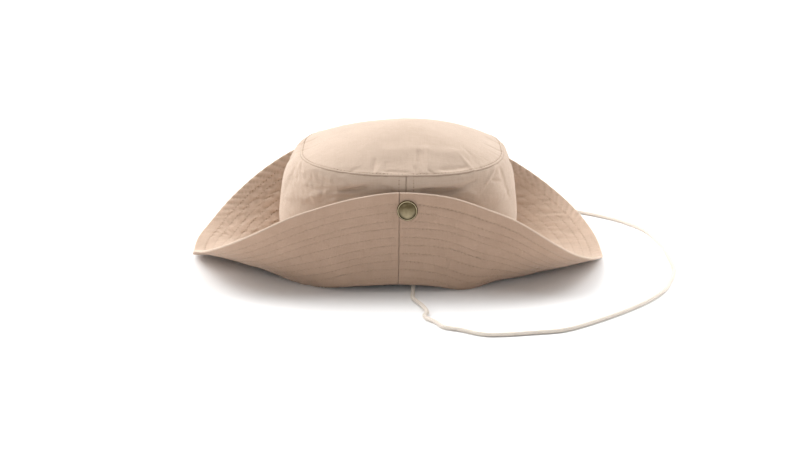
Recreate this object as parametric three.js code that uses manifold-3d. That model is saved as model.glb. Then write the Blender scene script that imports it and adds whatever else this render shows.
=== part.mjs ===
// Safari hat: a soft cotton hat whose brim is snapped up on both sides of the crown, with a
// loose chin cord.
//
// Frame: millimetres, +Z up. The hat lies on the plane z = 0. X runs along the head, from the
// front of the hat (-X) to the back (+X); the two snapped-up sides face -Y and +Y. The origin is
// under the middle of the hat without its cord.
//
// Angles ("at") run round the hat in degrees: -90 is the front, 0 the middle of the -Y side,
// 90 the back and 180 the middle of the +Y side.

import * as THREE from "three";
import { mergeVertices } from "three/addons/utils/BufferGeometryUtils.js";
import Module from "manifold-3d";

const wasm = await Module();
wasm.setup();

// ---- driving dimensions -------------------------------------------------------------------

const GAP = 0.3; // clearance kept between neighbouring pieces

// Head opening: the closed line where the crown's sides are sewn to the brim.
const HEAD = { halfLength: 100, halfWidth: 79, squareness: 2.25, x: 0 };
// Line where the crown's top panel is sewn to its sides.
const TOP_SEAM = { halfLength: 87, halfWidth: 69, squareness: 2.7, x: 2.3 };
const TOP_SEAM_HEIGHT = { sides: 95.1, risesToEnds: 3.4, frontHigher: 1.0 };
const DOME = { rise: 23.6, fullness: 1.75, leansBack: 3.0 };

const CROWN_SIDE_SEAM = 2.8; // degrees that the crown's side seams sit to the back of the brim's

const CROWN_CLOTH = 1.5; // wall of the crown, seam allowances averaged in
const BRIM_CLOTH = 1.8; // two plies and their stiffening, quilted together
const BRIM_WIDTH = 81.3; // along the cloth, from the head opening to the hem
const SETTLE = 0.6; // how far the folds are pressed flat where they meet the table

// Snap fasteners.
const SNAP = {
  fromEdge: 14.7, // along the brim, from the hem to the snap's centre
  x: 7.2, // to the back of the side seam
  capRadius: 8.6,
  capHeight: 2.3,
  shankRadius: 2.2,
  socketRadius: 5.5,
  flangeRadius: 5.0,
  flangeThick: 1.0,
  faceClear: 0.58, // room under each disc for the curve of the cloth
};

// Chin cord and the folded tapes that hold its ends inside the crown.
const CORD_RADIUS = 1.6;
const CORD_Z = 1.75; // height of its centre line where it lies on the table
const CORD_SIDES = 8;
const CORD_STEPS = 78;
const TAB = { width: 11, thick: 4.4, height: 15, bottom: 9.35, x: 12, y: 70.4, lean: -12 };

// Mesh fineness.
const STEPS_ROUND_BRIM = 30; // per half
const STEPS_ROUND_CROWN = 24; // per half
const SNAP_SEGMENTS = 28;

// The hat is built about the head opening's centre, then moved so that the middle of its
// bounding box is over the origin.
const CENTRE = { x: -0.75, y: -1.38 };

// ---- tables -------------------------------------------------------------------------------

// One row for each radial section of the brim. headZ: height of the head opening. The section
// leaves it at slopeIn (degrees, up is positive) and reaches the hem at slopeOut; the turn from
// one to the other is centred bendAt along the cloth and spread over bendWidth. fan: how far the
// section drifts sideways, towards growing angles, by the time it reaches the hem.
const BRIM_SECTIONS = [
  { at: -90, headZ: 19.2, fan: 0.6, slopeIn: -20.2, slopeOut: -3.4, bendAt: 34.8, bendWidth: 44.7 },
  { at: -75, headZ: 18.7, fan: -4.2, slopeIn: -32.1, slopeOut: 15.7, bendAt: 28.2, bendWidth: 38.0 },
  { at: -60, headZ: 13.7, fan: -9.3, slopeIn: -32.8, slopeOut: 26.7, bendAt: 17.6, bendWidth: 27.9 },
  { at: -45, headZ: 5.1, fan: -13.5, slopeIn: -39.6, slopeOut: 50.7, bendAt: 10.1, bendWidth: 15.4 },
  { at: -30, headZ: 5.8, fan: -15.8, slopeIn: -33.7, slopeOut: 76.9, bendAt: 9.2, bendWidth: 12.6 },
  { at: -15, headZ: 6.0, fan: -8.9, slopeIn: -22.1, slopeOut: 89.2, bendAt: 5.0, bendWidth: 11.1 },
  { at: 0, headZ: 6.6, fan: 0.9, slopeIn: -18.4, slopeOut: 94.3, bendAt: 3.0, bendWidth: 9.0 },
  { at: 15, headZ: 5.6, fan: 13.9, slopeIn: -24.6, slopeOut: 91.2, bendAt: 4.5, bendWidth: 10.0 },
  { at: 30, headZ: 4.0, fan: 21.0, slopeIn: -38.0, slopeOut: 78.6, bendAt: 9.0, bendWidth: 10.9 },
  { at: 45, headZ: 8.5, fan: 12.6, slopeIn: -36.9, slopeOut: 44.3, bendAt: 11.0, bendWidth: 18.8 },
  { at: 60, headZ: 13.9, fan: 5.5, slopeIn: -28.9, slopeOut: 25.6, bendAt: 23.3, bendWidth: 24.8 },
  { at: 75, headZ: 19.0, fan: 1.0, slopeIn: -31.0, slopeOut: 15.1, bendAt: 34.2, bendWidth: 35.7 },
  { at: 90, headZ: 19.6, fan: -1.3, slopeIn: -25.5, slopeOut: 2.8, bendAt: 41.9, bendWidth: 42.8 },
  { at: 105, headZ: 15.9, fan: -1.9, slopeIn: -28.0, slopeOut: 20.4, bendAt: 38.2, bendWidth: 38.6 },
  { at: 120, headZ: 12.0, fan: -6.3, slopeIn: -29.3, slopeOut: 33.3, bendAt: 28.2, bendWidth: 28.4 },
  { at: 135, headZ: 7.7, fan: -12.0, slopeIn: -32.8, slopeOut: 52.7, bendAt: 16.9, bendWidth: 19.4 },
  { at: 150, headZ: 5.3, fan: -16.3, slopeIn: -30.7, slopeOut: 73.9, bendAt: 8.5, bendWidth: 13.0 },
  { at: 165, headZ: 5.9, fan: -11.1, slopeIn: -23.9, slopeOut: 90.1, bendAt: 5.2, bendWidth: 10.1 },
  { at: 180, headZ: 6.4, fan: -0.8, slopeIn: -19.5, slopeOut: 94.2, bendAt: 3.0, bendWidth: 9.0 },
  { at: 195, headZ: 5.4, fan: 9.8, slopeIn: -22.9, slopeOut: 88.9, bendAt: 4.4, bendWidth: 10.3 },
  { at: 210, headZ: 4.7, fan: 18.1, slopeIn: -29.8, slopeOut: 73.2, bendAt: 4.7, bendWidth: 12.9 },
  { at: 225, headZ: 5.3, fan: 16.5, slopeIn: -33.1, slopeOut: 54.1, bendAt: 12.2, bendWidth: 17.4 },
  { at: 240, headZ: 11.6, fan: 8.5, slopeIn: -28.4, slopeOut: 32.0, bendAt: 26.3, bendWidth: 28.0 },
  { at: 255, headZ: 16.2, fan: 3.4, slopeIn: -23.3, slopeOut: 21.0, bendAt: 42.4, bendWidth: 39.4 },

];
const SECTION_STEP = 15; // degrees between the rows above

// Profile of the crown's side from the top seam down to the head opening. down: share of the
// height; end and side: how far out the wall has come, 0 at the top seam and 1 at the head
// opening, at the hat's ends and at its snapped-up sides.
const CROWN_PROFILE = [
  { down: 0.0, end: 0.0, side: 0.0 },
  { down: 0.03, end: 0.33, side: 0.07 },
  { down: 0.12, end: 0.6, side: 0.18 },
  { down: 0.25, end: 0.83, side: 0.31 },
  { down: 0.42, end: 0.99, side: 0.46 },
  { down: 0.6, end: 1.11, side: 0.62 },
  { down: 0.74, end: 1.17, side: 0.75 },
  { down: 0.88, end: 1.1, side: 0.88 },
  { down: 1.0, end: 1.0, side: 1.0 },
];

// Main dents and folds of the crown. row: 0 at the middle of the top, 1 at the top seam, 2 at
// the head opening. depth is inwards; wide (degrees) and tall (rows) are the half-extents.
const CROWN_FOLDS = [
  { at: -22, row: 1.13, depth: 2.6, wide: 10, tall: 0.09 },
  { at: -10, row: 1.3, depth: 1.2, wide: 7, tall: 0.14 },
  { at: 24, row: 1.14, depth: 2.2, wide: 9, tall: 0.09 },
  { at: 12, row: 1.32, depth: 1.2, wide: 7, tall: 0.14 },
  { at: -62, row: 1.2, depth: 1.8, wide: 8, tall: 0.12 },
  { at: 66, row: 1.22, depth: 1.6, wide: 9, tall: 0.12 },
  { at: 36, row: 0.86, depth: 1.8, wide: 9, tall: 0.09 },
  { at: -6, row: 0.84, depth: 1.2, wide: 12, tall: 0.1 },
  { at: 160, row: 1.15, depth: 2.2, wide: 10, tall: 0.1 },
  { at: 204, row: 1.15, depth: 2.4, wide: 10, tall: 0.1 },
  { at: 128, row: 1.2, depth: 1.6, wide: 9, tall: 0.13 },
  { at: -90, row: 1.0, depth: 4.2, wide: 27, tall: 0.2 },
  { at: 92, row: 1.0, depth: 1.4, wide: 18, tall: 0.18 },
];

// Rows of the brim's and the crown's meshes. Brim: lead rows lie between the head opening and
// the bend, bend rows across it, and skirt rows from it to the hem.
const BRIM_ROWS = { lead: 1, bend: 5, skirt: 5 };
const CROWN_TOP_ROWS = [0.0, 0.25, 0.48, 0.68, 0.84, 0.94, 1.0];
const CROWN_SIDE_ROWS = [1.0, 1.04, 1.13, 1.28, 1.46, 1.64, 1.82, 2.0];

// Centre line of the chin cord from the end under the -Y tab to the end under the +Y tab; up is
// the height of the centre line above where it runs when the cord lies on the table. The cord
// drops to the table, comes out under the folded brim, lies in one loose loop behind the hat,
// and goes back in under the other side.
const CORD_ROUTE = [
  { x: 12, y: -70.8, up: 6.6 },
  { x: 12, y: -71.7, up: 3.3 },
  { x: 12, y: -74.1, up: 0.88 },
  { x: 12, y: -77.4, up: 0 },
  { x: 11.8, y: -90, up: 0 },
  { x: 11.8, y: -101, up: 0 },
  { x: 14.5, y: -107.5, up: 0 },
  { x: 18.8, y: -116, up: 0 },
  { x: 22.2, y: -126, up: 0 },
  { x: 22.8, y: -131.5, up: 0 },
  { x: 20.6, y: -136.5, up: 0 },
  { x: 22.6, y: -142, up: 0 },
  { x: 29.5, y: -149.5, up: 0 },
  { x: 35, y: -158.5, up: 0 },
  { x: 48, y: -163.8, up: 0 },
  { x: 64.5, y: -172.2, up: 0 },
  { x: 80, y: -172.8, up: 0 },
  { x: 104, y: -169.2, up: 0 },
  { x: 128, y: -164.4, up: 0 },
  { x: 153, y: -149, up: 0 },
  { x: 180.5, y: -127.5, up: 0 },
  { x: 202, y: -107, up: 0 },
  { x: 218, y: -86, up: 0 },
  { x: 226.5, y: -67, up: 0 },
  { x: 234, y: -42, up: 0 },
  { x: 235, y: -12, up: 0 },
  { x: 233, y: 24, up: 0 },
  { x: 224, y: 58, up: 0 },
  { x: 204.5, y: 84.5, up: 0 },
  { x: 176, y: 105.5, up: 0 },
  { x: 150, y: 117.5, up: 0 },
  { x: 120, y: 125.5, up: 0 },
  { x: 90, y: 128.5, up: 0 },
  { x: 62, y: 126.5, up: 0 },
  { x: 38, y: 118, up: 0 },
  { x: 20.5, y: 104.5, up: 0 },
  { x: 13.2, y: 92, up: 0 },
  { x: 12, y: 77.4, up: 0 },
  { x: 12, y: 74.1, up: 0.88 },
  { x: 12, y: 71.7, up: 3.3 },
  { x: 12, y: 70.8, up: 6.6 },
];

// ---- small tools --------------------------------------------------------------------------

const rad = THREE.MathUtils.degToRad;
const { lerp, clamp } = THREE.MathUtils;
const ease = (x) => THREE.MathUtils.smoothstep(x, 0, 1);

// Closed Catmull-Rom interpolation of one column of BRIM_SECTIONS.
function section(column, at) {
  const n = BRIM_SECTIONS.length;
  const u = (at - BRIM_SECTIONS[0].at) / SECTION_STEP;
  const i = Math.floor(u);
  const f = u - i;
  const [p0, p1, p2, p3] = [-1, 0, 1, 2].map(
    (k) => BRIM_SECTIONS[(((i + k) % n) + n) % n][column],
  );
  return (
    0.5 *
    (2 * p1 +
      (p2 - p0) * f +
      (2 * p0 - 5 * p1 + 4 * p2 - p3) * f * f +
      (3 * p1 - p0 - 3 * p2 + p3) * f * f * f)
  );
}

// Straight-line lookup in a table by its first named column.
function lookup(table, key, column, x) {
  let i = 1;
  while (i < table.length - 1 && table[i][key] < x) i++;
  const [a, b] = [table[i - 1], table[i]];
  return lerp(a[column], b[column], clamp((x - a[key]) / (b[key] - a[key]), 0, 1));
}

// Point of a squared oval.
function oval({ halfLength, halfWidth, squareness, x }, at) {
  const s = Math.sin(rad(at));
  const c = Math.cos(rad(at));
  const k = (Math.abs(s) ** squareness + Math.abs(c) ** squareness) ** (-1 / squareness);
  return new THREE.Vector3(x + halfLength * k * s, -halfWidth * k * c, 0);
}

// Unit vector along the head opening, towards growing angles.
function headTangent(at) {
  return oval(HEAD, at + 0.5).sub(oval(HEAD, at - 0.5)).normalize();
}

// Closed solid of a sheet: a grid of middle-surface points with unit normals that point to the
// outer face, thickened by half the thickness each way. finish(point, sign) may adjust the
// corners. The first row may be one repeated point. flip is for a grid whose outer face is on
// the other side of rows x columns.
function sheetSolid(points, normals, thick, options = {}) {
  const { closed = false, flip = false, finish = (p) => p } = options;
  const rows = points.length;
  const cols = points[0].length;
  const pole = points[0].every((p) => p.distanceTo(points[0][0]) < 1e-6);
  const position = [];
  const put = (p) => position.push(p.x, p.y, p.z) / 3 - 1;
  const side = (sign) =>
    points.map((row, i) => {
      const make = (j) =>
        put(finish(row[j].clone().addScaledVector(normals[i][j], (sign * thick) / 2), sign));
      if (pole && i === 0) {
        const v = make(0);
        return row.map(() => v);
      }
      return row.map((_, j) => make(j));
    });
  const outer = side(1);
  const inner = side(-1);
  const index = [];
  const tri = (a, b, c) => {
    if (a !== b && b !== c && c !== a) index.push(a, ...(flip ? [c, b] : [b, c]));
  };
  const quad = (a, b, c, d) => {
    tri(a, b, c);
    tri(a, c, d);
  };
  const last = closed ? cols : cols - 1;
  for (let i = 0; i < rows - 1; i++)
    for (let j = 0; j < last; j++) {
      const k = (j + 1) % cols;
      quad(outer[i][j], outer[i + 1][j], outer[i + 1][k], outer[i][k]);
      quad(inner[i][j], inner[i][k], inner[i + 1][k], inner[i + 1][j]);
    }
  for (let j = 0; j < last; j++) {
    const k = (j + 1) % cols;
    if (!pole) quad(outer[0][j], outer[0][k], inner[0][k], inner[0][j]);
    quad(outer[rows - 1][j], inner[rows - 1][j], inner[rows - 1][k], outer[rows - 1][k]);
  }
  if (!closed)
    for (let i = 0; i < rows - 1; i++) {
      quad(outer[i][0], inner[i][0], inner[i + 1][0], outer[i + 1][0]);
      const e = cols - 1;
      quad(outer[i][e], outer[i + 1][e], inner[i + 1][e], inner[i][e]);
    }
  const geometry = new THREE.BufferGeometry();
  geometry.setAttribute("position", new THREE.Float32BufferAttribute(position, 3));
  geometry.setIndex(index);
  return geometry;
}

// Manifold solid of a geometry, and back.
function toSolid(geometry) {
  const g = geometry.clone();
  for (const name of Object.keys(g.attributes)) if (name !== "position") g.deleteAttribute(name);
  const merged = mergeVertices(g, 1e-4);
  return new wasm.Manifold(
    new wasm.Mesh({
      numProp: 3,
      vertProperties: new Float32Array(merged.attributes.position.array),
      triVerts: new Uint32Array(merged.index.array),
    }),
  );
}
function fromSolid(solid) {
  const { vertProperties, triVerts } = solid.getMesh();
  const geometry = new THREE.BufferGeometry();
  geometry.setAttribute("position", new THREE.BufferAttribute(new Float32Array(vertProperties), 3));
  geometry.setIndex(new THREE.BufferAttribute(new Uint32Array(triVerts), 1));
  return geometry;
}

// ---- brim ---------------------------------------------------------------------------------

// Middle surface of the brim at an angle and at a distance s along the cloth from the head
// opening. A negative s goes a little inside it.
const PROFILE_STEP = 0.5;
const brimProfiles = new Map();
function brimProfile(at) {
  if (brimProfiles.has(at)) return brimProfiles.get(at);
  const slopeIn = rad(section("slopeIn", at));
  const slopeOut = rad(section("slopeOut", at));
  const bendAt = section("bendAt", at);
  const bendWidth = section("bendWidth", at);
  const out = [[0, 0]];
  for (let s = PROFILE_STEP / 2; s < BRIM_WIDTH + 2; s += PROFILE_STEP) {
    const slope = lerp(slopeIn, slopeOut, ease((s - bendAt) / bendWidth + 0.5));
    const [r, z] = out[out.length - 1];
    out.push([r + Math.cos(slope) * PROFILE_STEP, z + Math.sin(slope) * PROFILE_STEP]);
  }
  brimProfiles.set(at, out);
  return out;
}
function brimPoint(at, s) {
  const profile = brimProfile(at);
  const u = s / PROFILE_STEP;
  const i = clamp(Math.floor(u), 0, profile.length - 2);
  const f = u - i;
  const r = lerp(profile[i][0], profile[i + 1][0], f);
  const z = lerp(profile[i][1], profile[i + 1][1], f);
  const t = headTangent(at);
  const drift = (section("fan", at) * s) / BRIM_WIDTH;
  const p = oval(HEAD, at);
  p.x += r * t.y + drift * t.x;
  p.y += -r * t.x + drift * t.y;
  p.z = section("headZ", at) + z - SETTLE;
  return p;
}
// Unit normal on the brim's lower face, the one that shows outside where it is turned up.
function brimNormal(at, s) {
  const dAt = brimPoint(at + 1, s).sub(brimPoint(at - 1, s));
  const dS = brimPoint(at, s + 0.6).sub(brimPoint(at, s - 0.6));
  return dS.cross(dAt).normalize().negate();
}
function brimRowDistances(at) {
  const bendAt = section("bendAt", at);
  const half = Math.max(section("bendWidth", at) / 2, 3.5);
  const from = Math.max(bendAt - half, 0.8);
  const to = Math.max(bendAt + half, from + 7);
  const s = [-CROWN_CLOTH / 2 - 0.25];
  for (let i = 0; i < BRIM_ROWS.lead; i++) s.push((from * i) / BRIM_ROWS.lead);
  for (let i = 0; i < BRIM_ROWS.bend; i++) s.push(lerp(from, to, i / (BRIM_ROWS.bend - 1)));
  for (let i = 1; i <= BRIM_ROWS.skirt; i++) s.push(lerp(to, BRIM_WIDTH, i / BRIM_ROWS.skirt));
  return s;
}
function brimHalf(from, to) {
  const points = [];
  const normals = [];
  const columns = [];
  for (let j = 0; j <= STEPS_ROUND_BRIM; j++) columns.push(lerp(from, to, j / STEPS_ROUND_BRIM));
  const distances = columns.map(brimRowDistances);
  for (let i = 0; i < distances[0].length; i++) {
    points.push(columns.map((at, j) => brimPoint(at, distances[j][i])));
    normals.push(columns.map((at, j) => brimNormal(at, distances[j][i])));
  }
  // Both halves stop half a gap short of the side seam.
  for (const [j, k] of [
    [0, 1],
    [columns.length - 1, columns.length - 2],
  ])
    for (let i = 0; i < points.length; i++) {
      const inwards = points[i][k].clone().sub(points[i][j]).normalize();
      points[i][j].addScaledVector(inwards, GAP / 2);
    }
  // The folds that meet the table are pressed flat on it.
  return sheetSolid(points, normals, BRIM_CLOTH, {
    flip: true,
    finish: (p, sign) => {
      p.z = Math.max(p.z, sign > 0 ? 0 : BRIM_CLOTH * 0.9);
      return p;
    },
  });
}

// ---- crown --------------------------------------------------------------------------------

function topSeamPoint(at) {
  const p = oval(TOP_SEAM, at);
  const s = Math.sin(rad(at));
  const { sides, risesToEnds, frontHigher } = TOP_SEAM_HEIGHT;
  p.z = sides + risesToEnds * s * s - frontHigher * s;
  return p;
}
// Height at which the crown's wall stands clear of the brim under it.
function crownFootHeight(at) {
  const slope = Math.abs(rad(section("slopeIn", at)));
  return (
    section("headZ", at) -
    SETTLE +
    BRIM_CLOTH / 2 / Math.cos(slope) +
    (CROWN_CLOTH / 2 + 0.3) * Math.tan(slope) +
    GAP
  );
}
// Middle surface of the crown. row 0 is the middle of the top, 1 the top seam, 2 the foot.
function crownPointPlain(at, row) {
  const seam = topSeamPoint(at);
  if (row <= 1) {
    const x = (seam.x - TOP_SEAM.x) * row + TOP_SEAM.x;
    const middle = TOP_SEAM_HEIGHT.sides + TOP_SEAM_HEIGHT.risesToEnds / 2;
    const z =
      lerp(middle, seam.z, row * row) +
      DOME.rise * (1 - row ** DOME.fullness) +
      (DOME.leansBack * x * (1 - row * row)) / 90;
    return new THREE.Vector3(x, seam.y * row, z);
  }
  const down = Math.min(row - 1, 1);
  const end = Math.sin(rad(at)) ** 2;
  const out = lerp(
    lookup(CROWN_PROFILE, "down", "side", down),
    lookup(CROWN_PROFILE, "down", "end", down),
    end,
  );
  const foot = oval(HEAD, at);
  return new THREE.Vector3(
    lerp(seam.x, foot.x, out),
    lerp(seam.y, foot.y, out),
    lerp(seam.z, crownFootHeight(at), down) - Math.max(row - 2, 0) * 20,
  );
}
function crownPoint(at, row) {
  const p = crownPointPlain(at, row);
  let depth = 0;
  for (const fold of CROWN_FOLDS) {
    const d = ((((at - fold.at) % 360) + 540) % 360) - 180;
    depth += fold.depth * Math.exp(-((d / fold.wide) ** 2) - ((row - fold.row) / fold.tall) ** 2);
  }
  if (depth > 1e-4) {
    const radial = new THREE.Vector3(p.x / HEAD.halfLength ** 2, p.y / HEAD.halfWidth ** 2, 0);
    radial.normalize();
    const tilt = clamp((row - 0.7) / 0.6, 0, 1);
    p.addScaledVector(radial, -depth * tilt);
    p.z -= depth * (1 - tilt);
  }
  return p;
}
function crownNormal(at, row) {
  if (row < 0.02) return new THREE.Vector3(-DOME.leansBack / 90, 0, 1).normalize();
  const dAt = crownPoint(at + 1.5, row).sub(crownPoint(at - 1.5, row));
  const dRow = crownPoint(at, row + 0.02).sub(crownPoint(at, row - 0.02));
  return dRow.cross(dAt).normalize();
}
function crownPatch(rows, columns, closed, trim) {
  const points = rows.map((row) => columns.map((at) => crownPoint(at, row)));
  const normals = rows.map((row) => columns.map((at) => crownNormal(at, row)));
  // Each seam edge stops half a gap short.
  const pull = (i, k) => {
    for (let j = 0; j < columns.length; j++) {
      const inwards = points[k][j].clone().sub(points[i][j]).normalize();
      points[i][j].addScaledVector(inwards, GAP / 2);
    }
  };
  if (trim.start) pull(0, 1);
  if (trim.end) pull(rows.length - 1, rows.length - 2);
  if (!closed)
    for (const [j, k] of [
      [0, 1],
      [columns.length - 1, columns.length - 2],
    ])
      for (let i = 0; i < rows.length; i++) {
        const inwards = points[i][k].clone().sub(points[i][j]).normalize();
        points[i][j].addScaledVector(inwards, GAP / 2);
      }
  return sheetSolid(points, normals, CROWN_CLOTH, { closed });
}
function crownSideHalf(from, to) {
  const columns = [];
  for (let j = 0; j <= STEPS_ROUND_CROWN; j++) columns.push(lerp(from, to, j / STEPS_ROUND_CROWN));
  return crownPatch(CROWN_SIDE_ROWS, columns, false, { start: true, end: false });
}
function crownTopPanel() {
  const columns = [];
  for (let j = 0; j < 2 * STEPS_ROUND_CROWN; j++) columns.push(-180 + (180 * j) / STEPS_ROUND_CROWN);
  return crownPatch(CROWN_TOP_ROWS, columns, true, { start: false, end: true });
}

// ---- snaps --------------------------------------------------------------------------------

// Frame of a snap: its axis is square to the brim and points out of the hat.
function snapFrame(middle) {
  const s = BRIM_WIDTH - SNAP.fromEdge;
  let at = middle;
  for (let k = 0; k < 20; k++) {
    const p = brimPoint(at, s);
    const q = brimPoint(at + 0.5, s);
    at += (0.5 * (SNAP.x - p.x)) / (q.x - p.x);
  }
  const centre = brimPoint(at, s);
  const axis = brimNormal(at, s);
  // Distance back along the axis to the middle of the crown's wall.
  let back = 0;
  for (let row = 1.02; row < 1.9; row += 0.002)
    for (const d of [-2, -1, 0, 1, 2]) {
      const away = crownPoint(at + d, row).sub(centre);
      const along = -away.dot(axis);
      const miss = away.addScaledVector(axis, along).length();
      if (!back || miss < back.miss) back = { along, miss };
    }
  const turn = new THREE.Quaternion().setFromUnitVectors(new THREE.Vector3(0, 0, 1), axis);
  return { centre, axis, turn, toCrown: back.along };
}
// Lathe with its axis along +Z, from named steps of radius and height.
function lathe(profile, segments) {
  const geometry = new THREE.LatheGeometry(
    profile.map(({ r, z }) => new THREE.Vector2(r, z)),
    segments,
  );
  geometry.rotateX(Math.PI / 2);
  return geometry;
}
function snapCap() {
  const R = SNAP.capRadius;
  const H = SNAP.capHeight;
  return lathe(
    [
      { r: 0, z: 0 },
      { r: R - 0.9, z: 0 },
      { r: R, z: 0.7 },
      { r: R, z: H - 0.8 },
      { r: R - 0.45, z: H - 0.1 },
      { r: R - 1.0, z: H },
      { r: R - 1.5, z: H - 0.4 },
      { r: R - 2.1, z: 1.05 },
      { r: 0, z: 0.8 },
    ],
    SNAP_SEGMENTS,
  );
}
// The hidden half: a shank through the brim under the cap, the socket between brim and crown,
// and a shank through the crown with its flange inside.
function snapStudProfile(toCrown) {
  const { shankRadius: r, socketRadius, flangeRadius, flangeThick, faceClear } = SNAP;
  const socketTop = -BRIM_CLOTH / 2 - faceClear;
  const socketFoot = -toCrown + CROWN_CLOTH / 2 + faceClear + 0.15;
  const flangeTop = -toCrown - CROWN_CLOTH / 2 - faceClear - 0.15;
  return [
    { r: 0, z: flangeTop - flangeThick },
    { r: flangeRadius, z: flangeTop - flangeThick },
    { r: flangeRadius, z: flangeTop },
    { r, z: flangeTop },
    { r, z: socketFoot },
    { r: socketRadius, z: socketFoot },
    { r: socketRadius, z: socketTop },
    { r, z: socketTop },
    { r, z: BRIM_CLOTH / 2 + 0.1 },
    { r: 0, z: BRIM_CLOTH / 2 + 0.1 },
  ];
}
function place(geometry, frame, lift) {
  geometry.applyQuaternion(frame.turn);
  const o = frame.centre.clone().addScaledVector(frame.axis, lift);
  geometry.translate(o.x, o.y, o.z);
  return geometry;
}
// A hole for the shank through a cloth piece.
function pierce(geometry, frames, depth) {
  let solid = toSolid(geometry);
  for (const frame of frames) {
    const cutter = new THREE.CylinderGeometry(
      SNAP.shankRadius + GAP,
      SNAP.shankRadius + GAP,
      9,
      12,
    ).rotateX(Math.PI / 2);
    solid = solid.subtract(toSolid(place(cutter, frame, depth(frame))));
  }
  return fromSolid(solid);
}

// ---- chin cord ----------------------------------------------------------------------------

function chinCord() {
  const path = new THREE.CatmullRomCurve3(
    CORD_ROUTE.map(({ x, y, up }) => new THREE.Vector3(x, y, CORD_Z + up)),
    false,
    "centripetal",
  );
  path.arcLengthDivisions = 1200;
  const ring = new THREE.Shape();
  for (let k = 0; k < CORD_SIDES; k++) {
    const a = (2 * Math.PI * k) / CORD_SIDES;
    ring[k ? "lineTo" : "moveTo"](CORD_RADIUS * Math.cos(a), CORD_RADIUS * Math.sin(a));
  }
  ring.closePath();
  return new THREE.ExtrudeGeometry(ring, {
    steps: CORD_STEPS,
    extrudePath: path,
    bevelEnabled: false,
  });
}
// A folded tape, standing inside the crown's wall with its lower end open to the cord.
function cordTab(side) {
  const { width, thick, height, bottom } = TAB;
  const outline = new THREE.Shape();
  const c = thick * 0.35;
  outline.moveTo(-thick / 2 + 0.6, 0);
  outline.lineTo(thick / 2 - 0.6, 0);
  outline.lineTo(thick / 2, 0.8);
  outline.lineTo(thick / 2, height - c);
  outline.lineTo(thick / 2 - c, height);
  outline.lineTo(-thick / 2 + 0.8, height);
  outline.lineTo(-thick / 2, height - 0.8);
  outline.lineTo(-thick / 2, 0.8);
  outline.closePath();
  const geometry = new THREE.ExtrudeGeometry(outline, { depth: width, bevelEnabled: false });
  // The outline's x becomes the way into the hat and its y becomes up, leaning with the wall.
  const into = new THREE.Vector3(0, -side * Math.cos(rad(TAB.lean)), -Math.sin(rad(TAB.lean)));
  const up = new THREE.Vector3(0, -side * Math.sin(rad(TAB.lean)), Math.cos(rad(TAB.lean)));
  const across = new THREE.Vector3().crossVectors(into, up);
  geometry.translate(0, 0, -width / 2);
  geometry.applyMatrix4(new THREE.Matrix4().makeBasis(into, up, across));
  geometry.translate(TAB.x, side * TAB.y, bottom);
  return geometry;
}

// ---- assembly -----------------------------------------------------------------------------

const LOOK = {
  crown: { color: 0xdcc2a6, roughness: 0.92, metalness: 0 },
  brim: { color: 0xcbb097, roughness: 0.92, metalness: 0 },
  brass: { color: 0x8a805c, roughness: 0.38, metalness: 0.9 },
  cord: { color: 0xefe6d8, roughness: 0.85, metalness: 0 },
};
const hat = new THREE.Group();
function add(name, geometry, look) {
  const mesh = new THREE.Mesh(geometry, new THREE.MeshStandardMaterial(LOOK[look]));
  geometry.computeVertexNormals();
  mesh.name = name;
  mesh.position.set(-CENTRE.x, -CENTRE.y, 0);
  hat.add(mesh);
}

const snapNear = snapFrame(0);
const snapFar = snapFrame(180);
const snaps = [snapNear, snapFar];

add("crown_top", crownTopPanel(), "crown");
const toCrown = (frame) => -frame.toCrown;
const crownFront = crownSideHalf(-180 - CROWN_SIDE_SEAM, CROWN_SIDE_SEAM);
const crownBack = crownSideHalf(CROWN_SIDE_SEAM, 180 - CROWN_SIDE_SEAM);
add("crown_side_front", pierce(crownFront, snaps, toCrown), "crown");
add("crown_side_back", pierce(crownBack, snaps, toCrown), "crown");
add("brim_front", brimHalf(-180, 0), "brim");
add("brim_back", pierce(brimHalf(0, 180), snaps, () => 0), "brim");
for (const [side, frame] of [
  ["near", snapNear],
  ["far", snapFar],
]) {
  add(`snap_cap_${side}`, place(snapCap(), frame, BRIM_CLOTH / 2 + SNAP.faceClear), "brass");
  add(`snap_stud_${side}`, place(lathe(snapStudProfile(frame.toCrown), 16), frame, 0), "brass");
}
add("cord_tab_near", cordTab(-1), "crown");
add("cord_tab_far", cordTab(1), "crown");
add("chin_cord", chinCord(), "cord");

export default hat;
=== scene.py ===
# Safari hat: the look of every piece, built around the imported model.
import math

import bpy
import numpy as np
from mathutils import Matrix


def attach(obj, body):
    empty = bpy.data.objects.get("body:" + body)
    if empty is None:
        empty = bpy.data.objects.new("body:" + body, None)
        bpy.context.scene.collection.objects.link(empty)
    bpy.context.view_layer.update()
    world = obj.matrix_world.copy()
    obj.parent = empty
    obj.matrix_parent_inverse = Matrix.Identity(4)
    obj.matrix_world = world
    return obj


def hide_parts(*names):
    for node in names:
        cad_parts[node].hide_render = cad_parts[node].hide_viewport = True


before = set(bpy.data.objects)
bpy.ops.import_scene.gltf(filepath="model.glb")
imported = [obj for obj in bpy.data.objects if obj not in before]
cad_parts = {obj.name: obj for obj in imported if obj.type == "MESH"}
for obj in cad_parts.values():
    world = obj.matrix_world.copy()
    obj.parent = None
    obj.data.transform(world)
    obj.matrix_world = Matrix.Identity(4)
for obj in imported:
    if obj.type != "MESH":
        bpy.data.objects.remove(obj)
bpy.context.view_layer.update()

# Lengths below are in millimetres about the middle of the head opening. place() turns them into
# the frame's metres: the hat's own middle is CENTRE away from the middle of the head opening.
CENTRE = np.array([-0.75, -1.38, 0.0])


def place(points):
    return (np.asarray(points, float) - CENTRE) * 0.001


# ---- camera --------------------------------------------------------------------------------

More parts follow.
